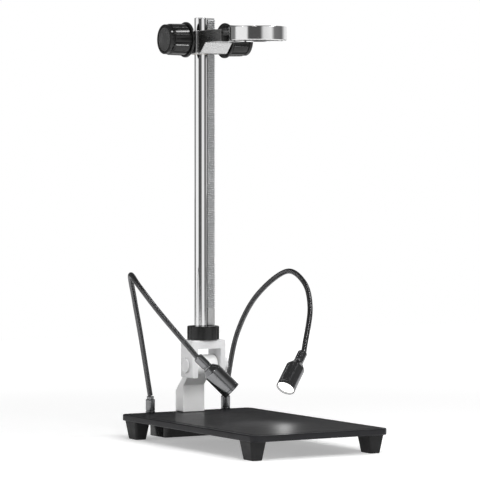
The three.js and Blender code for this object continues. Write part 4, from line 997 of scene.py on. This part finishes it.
def make_knob(side, sign):
    node = "focus_knob_" + side
    low, high = box_mm(node)
    axis = joint_mm("focus_spin")
    inner, outer = (low.x, high.x) if sign > 0 else (-high.x, -low.x)
    flange = (high.z - low.z) / 2
    # distance from the carriage, radius, and how deep the grooves run there
    levels = [
        (inner, flange - 1.0, 0), (inner + 0.2, flange - 0.4, 0), (inner + 0.7, flange, 0),
        (inner + 2.0, flange, 0), (inner + 2.5, flange - 0.25, 0), (inner + 2.8, flange - 0.9, 0),
        (inner + 3.0, 15.3, 0), (inner + 3.6, 15.2, 0), (inner + 3.8, 15.7, 0.35), (inner + 4.4, 16.35, 0.8),
        (inner + 5.6, 16.6, 1), (inner + 20.6, 16.3, 1),
        (inner + 21.8, 16.0, 0.9), (inner + 22.5, 15.4, 0.55),
        (inner + 22.8, 14.7, 0.15), (inner + 23.5, 14.5, 0), (inner + 23.8, 15.2, 0), (inner + 24.2, 15.5, 0),
        (outer - 0.7, 15.5, 0), (outer - 0.2, 15.3, 0), (outer, 14.8, 0),
    ]
    count = KNOB_FLUTES * KNOB_STEPS
    rings = []
    for x, radius, cut in levels:
        ring = []
        for i in range(count):
            reach = radius - cut * GROOVE_DEPTH * groove(i / KNOB_STEPS)
            angle = 2 * math.pi * (i / count + 0.5 / KNOB_FLUTES)
            ring.append((x, reach * math.cos(angle), reach * math.sin(angle)))
        rings.append(ring)
    recess = along_x(circle(12.8, 96), outer - 3.1, outer + 1)
    bore = along_x(circle(2.5, 40), inner - 1, outer - 4)
    place = Matrix.Translation(axis) @ Matrix.Rotation(0 if sign > 0 else math.pi, 4, "Z")
    body = loft(rings)
    bmesh.ops.recalc_face_normals(body, faces=body.faces)
    shown(node + "_grip", placed(combined(body, [recess, bore]), place), node)

    back = outer - 2.9
    rim, dish, lip, depth = 12.5, 11.1, outer - 0.25, 1.8
    ledge = lip - 0.7
    corners = [(0, back, 0), (rim, back, 0.2), (rim, lip, 0.35), (dish, lip, 0.25), (dish - 0.2, ledge, 0.1)]
    shares = [1 - i / 10 for i in range(11)]
    bowl = [((dish - 0.4) * share, ledge - (depth - 0.7) * (1 - share ** 2)) for share in shares]
    cap = lathe(filleted(corners, closed=False, steps=4) + bowl, 120)
    cap.transform(Z_TO_X)
    shown("knob_cap_disc_" + side, placed(cap, place), "knob_cap_" + side)


def make_drive():
    axis = joint_mm("focus_spin")
    low, high = box_mm("pinion_shaft")
    radius = 2.4
    shaft = bar(radius, low.x, high.x, 0.3)
    turn = Matrix.Translation(axis) @ Z_TO_X
    shown("pinion_shaft_bar", placed(shaft, turn), "pinion_shaft")

    low, high = box_mm("drive_pinion")
    outline = []
    for tooth in range(PINION_TEETH):
        for rise, side in ((-DEDENDUM, -1), (0, -1), (ADDENDUM, -1), (ADDENDUM, 1), (0, 1), (-DEDENDUM, 1)):
            reach = PITCH_RADIUS + rise
            half = HALF_TOOTH - FLANK_SLOPE * rise
            angle = 2 * math.pi * tooth / PINION_TEETH + side * half / reach
            outline.append((reach * math.cos(angle), reach * math.sin(angle)))
    gear = along_x([(y + axis.y, z + axis.z) for y, z in outline], low.x, high.x, 0.08, 2)
    hole = peg(radius + 0.1, axis, low.x - 1, high.x + 1, 40)
    shown("drive_pinion_gear", combined(gear, [hole]), "drive_pinion")
    for side, sign in SIDES:
        make_knob(side, sign)


# ---------------------------------------------------------------- gooseneck lamps

NECK_RADIUS = 2.8
NECK_SIDES = 18
RIB_PITCH = 1.5
RIB_STEPS = 5
RIB_DEPTH = 0.14
# The necks' centre line from the post to the lamp, as part of the CAD design
NECK_ROUTE = [
    (0, 0, 0), (13, -3, 64), (29, -18, 105), (49, -48, 131), (53, -74, 120), (45, -99, 96), (19, -129, 52.5),
]
NECK_CREST = 3  # the route's point near its crest, where the neck bends
SPAN_STEPS = 60  # points on the curve for each span of the route
NECK_START = 0.9  # how far along the route the tube starts
NECK_OVERRUN = 9  # how far it runs on past the route's end, inside the lamp's sleeve
SPLIT_SHARE = 0.55  # of the stretch from the crest to the lamp, where the two tubes meet
BEND_HALF = 26
SWING_BEFORE, SWING_AFTER = 22, 3  # a stretch round the tip, measured from it, which make_neck works out but does not use
LAMP_HEADING = math.radians(207.5)
LAMP_DIP = math.radians(44.8)


def neck_curve(points):
    """A centripetal Catmull-Rom curve through the points, as a fine polyline."""
    ends = [points[0] * 2 - points[1], *points, points[-1] * 2 - points[-2]]
    line = []
    for p0, p1, p2, p3 in zip(ends, ends[1:], ends[2:], ends[3:]):
        t01, t12, t23 = ((b - a).length ** 0.5 for a, b in ((p0, p1), (p1, p2), (p2, p3)))
        start = ((p1 - p0) / t01 - (p2 - p0) / (t01 + t12) + (p2 - p1) / t12) * t12
        end = ((p2 - p1) / t12 - (p3 - p1) / (t12 + t23) + (p3 - p2) / t23) * t12
        for i in range(SPAN_STEPS):
            t = i / SPAN_STEPS
            line.append(p1 * (2 * t**3 - 3 * t**2 + 1) + start * (t**3 - 2 * t**2 + t)
                        + p2 * (3 * t**2 - 2 * t**3) + end * (t**3 - t**2))
    return line + [points[-1]]


def resampled(line, start, end, spacing):
    """Points at an even spacing along a polyline, between two distances from its start."""
    lengths = [0.0]
    for a, b in zip(line, line[1:]):
        lengths.append(lengths[-1] + (b - a).length)
    count = max(2, round((end - start) / spacing))
    points, i = [], 0
    for step in range(count + 1):
        target = start + (end - start) * step / count
        while i < len(line) - 2 and lengths[i + 1] < target:
            i += 1
        share = (target - lengths[i]) / max(1e-9, lengths[i + 1] - lengths[i])
        points.append(line[i].lerp(line[i + 1], min(1.0, share)))
    return points


def ribbed_tube(points, from_start):
    """A tube with shallow ribs along the points. Its first point lies from_start along the neck."""
    spacing = (points[1] - points[0]).length
    tangent = (points[1] - points[0]).normalized()
    across = tangent.orthogonal().normalized()
    rings = []
    for i, point in enumerate(points):
        ahead = points[min(i + 1, len(points) - 1)] - points[max(i - 1, 0)]
        turn = tangent.rotation_difference(ahead.normalized())
        tangent = ahead.normalized()
        across = turn @ across
        up = tangent.cross(across)
        phase = (from_start + i * spacing) / RIB_PITCH
        radius = NECK_RADIUS - RIB_DEPTH * (0.5 + 0.5 * math.cos(2 * math.pi * phase)) ** 2
        rings.append([tuple(point + (across * math.cos(t) + up * math.sin(t)) * radius)
                      for t in (2 * math.pi * s / NECK_SIDES for s in range(NECK_SIDES))])
    return loft(rings)


def make_neck(side, sign, post_top):
    route = [post_top + Vector((sign * x, y, z)) for x, y, z in NECK_ROUTE]
    line = neck_curve(route)
    total = sum((b - a).length for a, b in zip(line, line[1:]))
    to_crest = NECK_CREST * SPAN_STEPS
    crest = sum((b - a).length for a, b in zip(line[:to_crest], line[1:to_crest + 1]))
    split = crest + (total - crest) * SPLIT_SHARE
    tip, ahead = line[-1], (line[-1] - line[-6]).normalized()
    line.append(tip + ahead * 14)
    spacing = RIB_PITCH / RIB_STEPS
    lower = resampled(line, NECK_START, split, spacing)
    upper = resampled(line, split, total + NECK_OVERRUN, spacing)
    material = FINISH["neck_metal"]

    def neck_piece(name, points, start, node):
        mesh = ribbed_tube(points, start)
        bmesh.ops.recalc_face_normals(mesh, faces=mesh.faces)
        bmesh.ops.scale(mesh, vec=(MM, MM, MM), verts=mesh.verts)
        thing = to_object(name, mesh)
        thing.data.shade_smooth()
        thing.data.set_sharp_from_angle(angle=math.radians(60))
        thing.data.materials.append(material)
        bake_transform(thing)
        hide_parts(node)

    bend = resampled(line, crest - BEND_HALF, crest + BEND_HALF, BEND_HALF)
    neck_piece("neck_tube_" + side, lower, NECK_START, "gooseneck_lower_" + side)
    swing = resampled(line, total - SWING_BEFORE, total + SWING_AFTER, 12)
    neck_piece("reach_tube_" + side, upper, split, "gooseneck_upper_" + side)
    return tip


SLEEVE_START = 3.3
SLEEVE_LENGTH = 15.2
SLEEVE_RADIUS = 5
SHOULDER_START = 18.8
LAMP_START = 24.8
LAMP_END = 52.6
LAMP_RADIUS = 9.9
LENS_RADIUS = 8.9
BEAM_POWER = 0.075
BEAM_ANGLE = math.radians(125)


def make_head(side, sign, tip):
    level = math.cos(LAMP_DIP)
    shine = Vector((sign * math.cos(LAMP_HEADING) * level, math.sin(LAMP_HEADING) * level,
                    -math.sin(LAMP_DIP)))
    place = Matrix.Translation(tip * MM) @ shine.to_track_quat("Z", "Y").to_matrix().to_4x4()

    start, end, outer = SLEEVE_START, SLEEVE_START + SLEEVE_LENGTH, SLEEVE_RADIUS
    hole = NECK_RADIUS + 0.35
    sleeve = lathe(filleted([
        (hole, end - 3, 0), (hole, start + 0.6, 0.2), (hole + 0.5, start, 0.2), (outer - 0.9, start, 0.3),
        (outer, start + 1.1, 0.4), (outer, end - 2.6, 0.15), (outer - 0.45, end - 2.2, 0.1),
        (outer - 0.45, end - 1.5, 0.1), (outer, end - 1.1, 0.15), (outer, end, 0.1), (0, end, 0),
    ], closed=False) + [(0, end - 3), (hole, end - 3)], 80)
    bmesh.ops.remove_doubles(sleeve, verts=sleeve.verts, dist=1e-4)
    bmesh.ops.recalc_face_normals(sleeve, faces=sleeve.faces)
    shown("neck_sleeve_tube_" + side, sleeve, "neck_sleeve_" + side, place=place)

    lip = LENS_RADIUS + 0.25
    neck, back, front, radius = SLEEVE_RADIUS, SHOULDER_START, LAMP_END, LAMP_RADIUS
    housing = lathe(filleted([
        (0, back, 0), (neck + 0.4, back, 0.3), (neck + 1.2, back + 0.6, 0.5),
        (radius - 0.25, LAMP_START - 0.4, 0.5), (radius, LAMP_START + 0.2, 0.3), (radius, front - 3.4, 0.05),
        (radius - 0.3, front - 3.2, 0.05), (radius - 0.3, front - 2.8, 0.05), (radius, front - 2.6, 0.05),
        (radius, front, 0.4), (lip, front, 0.2), (lip, front - 3, 0.1), (8.3, front - 3, 0.1),
        (8.3, front - 22, 0.3), (0, front - 22, 0),
    ], closed=False), 112)
    shown("lamp_case_" + side, housing, "lamp_housing_" + side, place=place)

    face = LAMP_END - 0.9
    dome = [(LENS_RADIUS * math.cos(math.radians(a)), face - 1.6 + 1.9 * math.sin(math.radians(a)))
            for a in range(0, 91, 9)]
    lens = lathe([(0, face - 1.9), (LENS_RADIUS - 0.2, face - 1.9), *dome[:-1], (0, face + 0.3)], 96)
    shown("lamp_lens_dome_" + side, lens, "lamp_lens_" + side, place=place)

    light = bpy.data.lights.new("lamp_beam_" + side, "SPOT")
    light.energy = BEAM_POWER
    light.spot_size = BEAM_ANGLE
    light.spot_blend = 1.0
    light.shadow_soft_size = 0.006
    beam = bpy.data.objects.new("lamp_beam_" + side, light)
    bpy.context.scene.collection.objects.link(beam)
    ahead = Matrix.Translation((0, 0, (LAMP_END + 0.6) * MM))
    beam.matrix_world = place @ ahead @ Matrix.Rotation(math.pi, 4, "X")
    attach(beam, "lamp_" + side)


def make_post(side):
    node = "lamp_post_" + side
    low, high = box_mm(node)
    centre = (low + high) / 2
    seat = box_mm("base_plate")[1].z + 0.3
    radius = (high.x - low.x) / 2
    shoulder = seat + 14.2
    post = turned([
        (0, low.z, 0), (2.9, low.z, 0.4), (2.9, seat, 0.1), (radius, seat, 0.25), (radius, seat + 1.4, 0.1),
        (radius - 0.35, seat + 1.7, 0.1), (radius - 0.35, seat + 2.3, 0.1), (radius, seat + 2.6, 0.1),
        (radius, shoulder, 0.9), (3.8, shoulder, 0.25), (3.8, high.z, 0.5), (0, high.z, 0),
    ], 80)
    shown(node + "_turning", shifted(post, centre.x, centre.y, 0), node)

    node = "post_nut_" + side
    low, high = box_mm(node)
    nut = prism(arc((0, 0), 5.4, 30, 330, 5), low.z, high.z, 0.25, 2)
    cone = turned([(0, low.z - 1, 0), (6.5, low.z - 1, 0), (6.5, low.z + 0.1, 0),
                   (5.0, low.z - 0.3, 0), (0, low.z - 0.3, 0)])
    hole = cylinder(3.0, low.z - 1, high.z + 1, 40)
    nut = combined(nut, [cone, hole])
    shown(node + "_hexagon", shifted(nut, centre.x, centre.y, 0), node)
    return Vector((centre.x, centre.y, box_mm("lamp_post_" + side)[1].z))


def make_lamps():
    for side, sign in SIDES:
        post_top = make_post(side)
        tip = make_neck(side, sign, post_top)
        make_head(side, sign, tip)


# ---------------------------------------------------------------- studio

CAMERA_SIDE = math.degrees(math.atan2(CAMERA_PLACE[1], CAMERA_PLACE[0]))
COLUMN = Vector((0, 0.1037, 0))


def plain(name, shade, roughness=0.6):
    made = Finish(name, (shade,) * 3, roughness)
    made.tint(made.noise(3), (shade * 0.99,) * 3, (shade,) * 3)
    return made


def make_floor():
    """A white floor that takes soft shadows near the stand and clears to plain white away from it."""
    bpy.ops.mesh.primitive_plane_add(size=3.2, location=(0, 0, 0))
    floor = bpy.context.object
    floor.name = "studio_floor"
    surface = plain("studio_floor", 0.86, 0.35)
    surface.fixed(Specular_IOR_Level=0.1, Coat_Roughness=0.05, Emission_Color=(1, 1, 1, 1))
    offset = surface.node("ShaderNodeVectorMath", operation="DISTANCE")
    surface.link(surface.place, offset, 0)
    offset.inputs[1].default_value = (0, 0, 0)
    away = surface.ranged(offset.outputs["Value"], 0, 1, 0.22, 0.75)
    near = surface.ranged(offset.outputs["Value"], 0.86, 0, 0.22, 0.75)
    surface.link(near, surface.shader, "Base Color")
    surface.link(surface.ranged(away, 0.4, 1.0, 0, 1), surface.shader, "Emission Strength")
    surface.link(surface.ranged(away, 0.14, 0, 0, 1), surface.shader, "Coat Weight")
    floor.data.materials.append(surface.material)


# Studio brightness round the stand: 0 degrees is the camera's side, and negative is to its left
SKYLINE = [
    (-180, 0.22), (-106, 0.22), (-97, 1.0), (-46, 1.0), (-38, 0.09), (10, 0.09),
    (22, 0.85), (54, 1.0), (68, 0.2), (108, 0.16), (132, 0.95), (180, 1.0),
]
OVERHEAD = 0.14


def make_world():
    world = bpy.data.worlds.new("studio")
    bpy.context.scene.world = world
    world.use_nodes = True
    tree = world.node_tree

    def node(kind, **settings):
        made = tree.nodes.new(kind)
        for key, value in settings.items():
            setattr(made, key, value)
        return made

    turn = node("ShaderNodeMapping")
    turn.inputs["Rotation"].default_value = (0, 0, -math.radians(CAMERA_SIDE))
    tree.links.new(node("ShaderNodeTexCoord").outputs["Generated"], turn.inputs["Vector"])
    split = node("ShaderNodeSeparateXYZ")
    tree.links.new(turn.outputs["Vector"], split.inputs["Vector"])
    heading = node("ShaderNodeMath", operation="ARCTAN2")
    tree.links.new(split.outputs["Y"], heading.inputs[0])
    tree.links.new(split.outputs["X"], heading.inputs[1])
    share = node("ShaderNodeMapRange")
    share.inputs["From Min"].default_value = -math.pi
    share.inputs["From Max"].default_value = math.pi
    tree.links.new(heading.outputs["Value"], share.inputs["Value"])
    skyline = node("ShaderNodeValToRGB")
    stops = skyline.color_ramp.elements
    for i, (azimuth, shade) in enumerate(SKYLINE):
        place = (azimuth + 180) / 360
        if i == 0:
            stop = stops[0]
            stop.position = place
        elif i == len(SKYLINE) - 1:
            stop = stops[len(stops) - 1]
            stop.position = place
        else:
            stop = stops.new(place)
        stop.color = (shade, shade, shade, 1)
    tree.links.new(share.outputs["Result"], skyline.inputs["Fac"])
    height = node("ShaderNodeMapRange")
    height.inputs["From Min"].default_value = 0.3
    height.inputs["From Max"].default_value = 0.6
    tree.links.new(split.outputs["Z"], height.inputs["Value"])
    dome = node("ShaderNodeMix", data_type="RGBA")
    dome.inputs["B"].default_value = (OVERHEAD, OVERHEAD, OVERHEAD, 1)
    tree.links.new(height.outputs["Result"], dome.inputs["Factor"])
    tree.links.new(skyline.outputs["Color"], dome.inputs["A"])
    backdrop = node("ShaderNodeMix", data_type="RGBA")
    backdrop.inputs["B"].default_value = (1, 1, 1, 1)
    tree.links.new(node("ShaderNodeLightPath").outputs["Is Camera Ray"], backdrop.inputs["Factor"])
    tree.links.new(dome.outputs["Result"], backdrop.inputs["A"])
    tree.links.new(backdrop.outputs["Result"], tree.nodes["Background"].inputs["Color"])
    tree.nodes["Background"].inputs["Strength"].default_value = 1.0


def polar(azimuth, distance, height):
    """A place round the column: azimuth 0 is the camera's side, and negative is to its left."""
    angle = math.radians(CAMERA_SIDE + azimuth)
    return COLUMN + Vector((math.cos(angle) * distance, math.sin(angle) * distance, height))


def make_light(name, place, target, size, radiance, glossy=True):
    data = bpy.data.lights.new(name, "AREA")
    data.shape = "RECTANGLE"
    data.size, data.size_y = size
    data.energy = radiance * math.pi * size[0] * size[1]
    light = bpy.data.objects.new(name, data)
    light.location = place
    light.rotation_mode = "QUATERNION"
    light.rotation_quaternion = (Vector(target) - Vector(place)).to_track_quat("-Z", "Y")
    light.visible_glossy = glossy
    light.visible_camera = False
    bpy.context.scene.collection.objects.link(light)


def make_card(name, azimuth, distance, width, bottom, top, shade):
    """A card that only reflections see, to shape them."""
    place = polar(azimuth, distance, (bottom + top) / 2)
    bpy.ops.mesh.primitive_plane_add(size=1, location=place)
    card = bpy.context.object
    card.name = name
    card.rotation_mode = "QUATERNION"
    towards = Vector((COLUMN.x - place.x, COLUMN.y - place.y, 0))
    card.rotation_quaternion = towards.to_track_quat("Z", "Y")
    card.scale = (width, top - bottom, 1)
    surface = plain(name, shade, 0.9)
    surface.fixed(Specular_IOR_Level=0.0)
    card.data.materials.append(surface.material)
    card.visible_camera = False
    card.visible_shadow = False
    card.visible_diffuse = False
    card.visible_transmission = False


def make_studio():
    make_floor()
    make_world()
    centre = COLUMN + Vector((0, 0, 0.2))
    make_light("ceiling", (0, -0.2, 2.6), (0, 0, 0), (3.0, 3.0), 1.0, glossy=False)
    make_light("fill", polar(24, 1.3, 1.05), centre - Vector((0, 0, 0.1)), (0.9, 0.6), 9.5, glossy=False)
    make_light("key", (0.62, -0.4, 1.4), centre + Vector((0, 0, 0.1)), (0.5, 0.16), 20.0)
    make_light("front", polar(-12, 0.9, 0.95), centre - Vector((0, 0, 0.05)), (0.3, 0.12), 14.0)
    make_light("rim", polar(-62, 1.3, 1.0), centre, (0.14, 0.6), 6.0)
    make_card("rear_card", 178, 0.7, 1.9, 0.0, 0.24, 0.012)
    view = bpy.context.scene.view_settings
    view.view_transform = "Standard"
    view.look = "None"


# ---------------------------------------------------------------- the stand

dress_cad_nodes()
make_plate()
for corner in ("front_left", "front_right", "rear_left", "rear_right"):
    make_foot(corner)
make_driver()
make_inlet()
make_screws()
make_pedestal()
make_clevis()
make_hinge()
make_column()
make_rack()
make_carriage()
make_ring()
make_drive()
make_lamps()
make_studio()

bpy.context.view_layer.update()
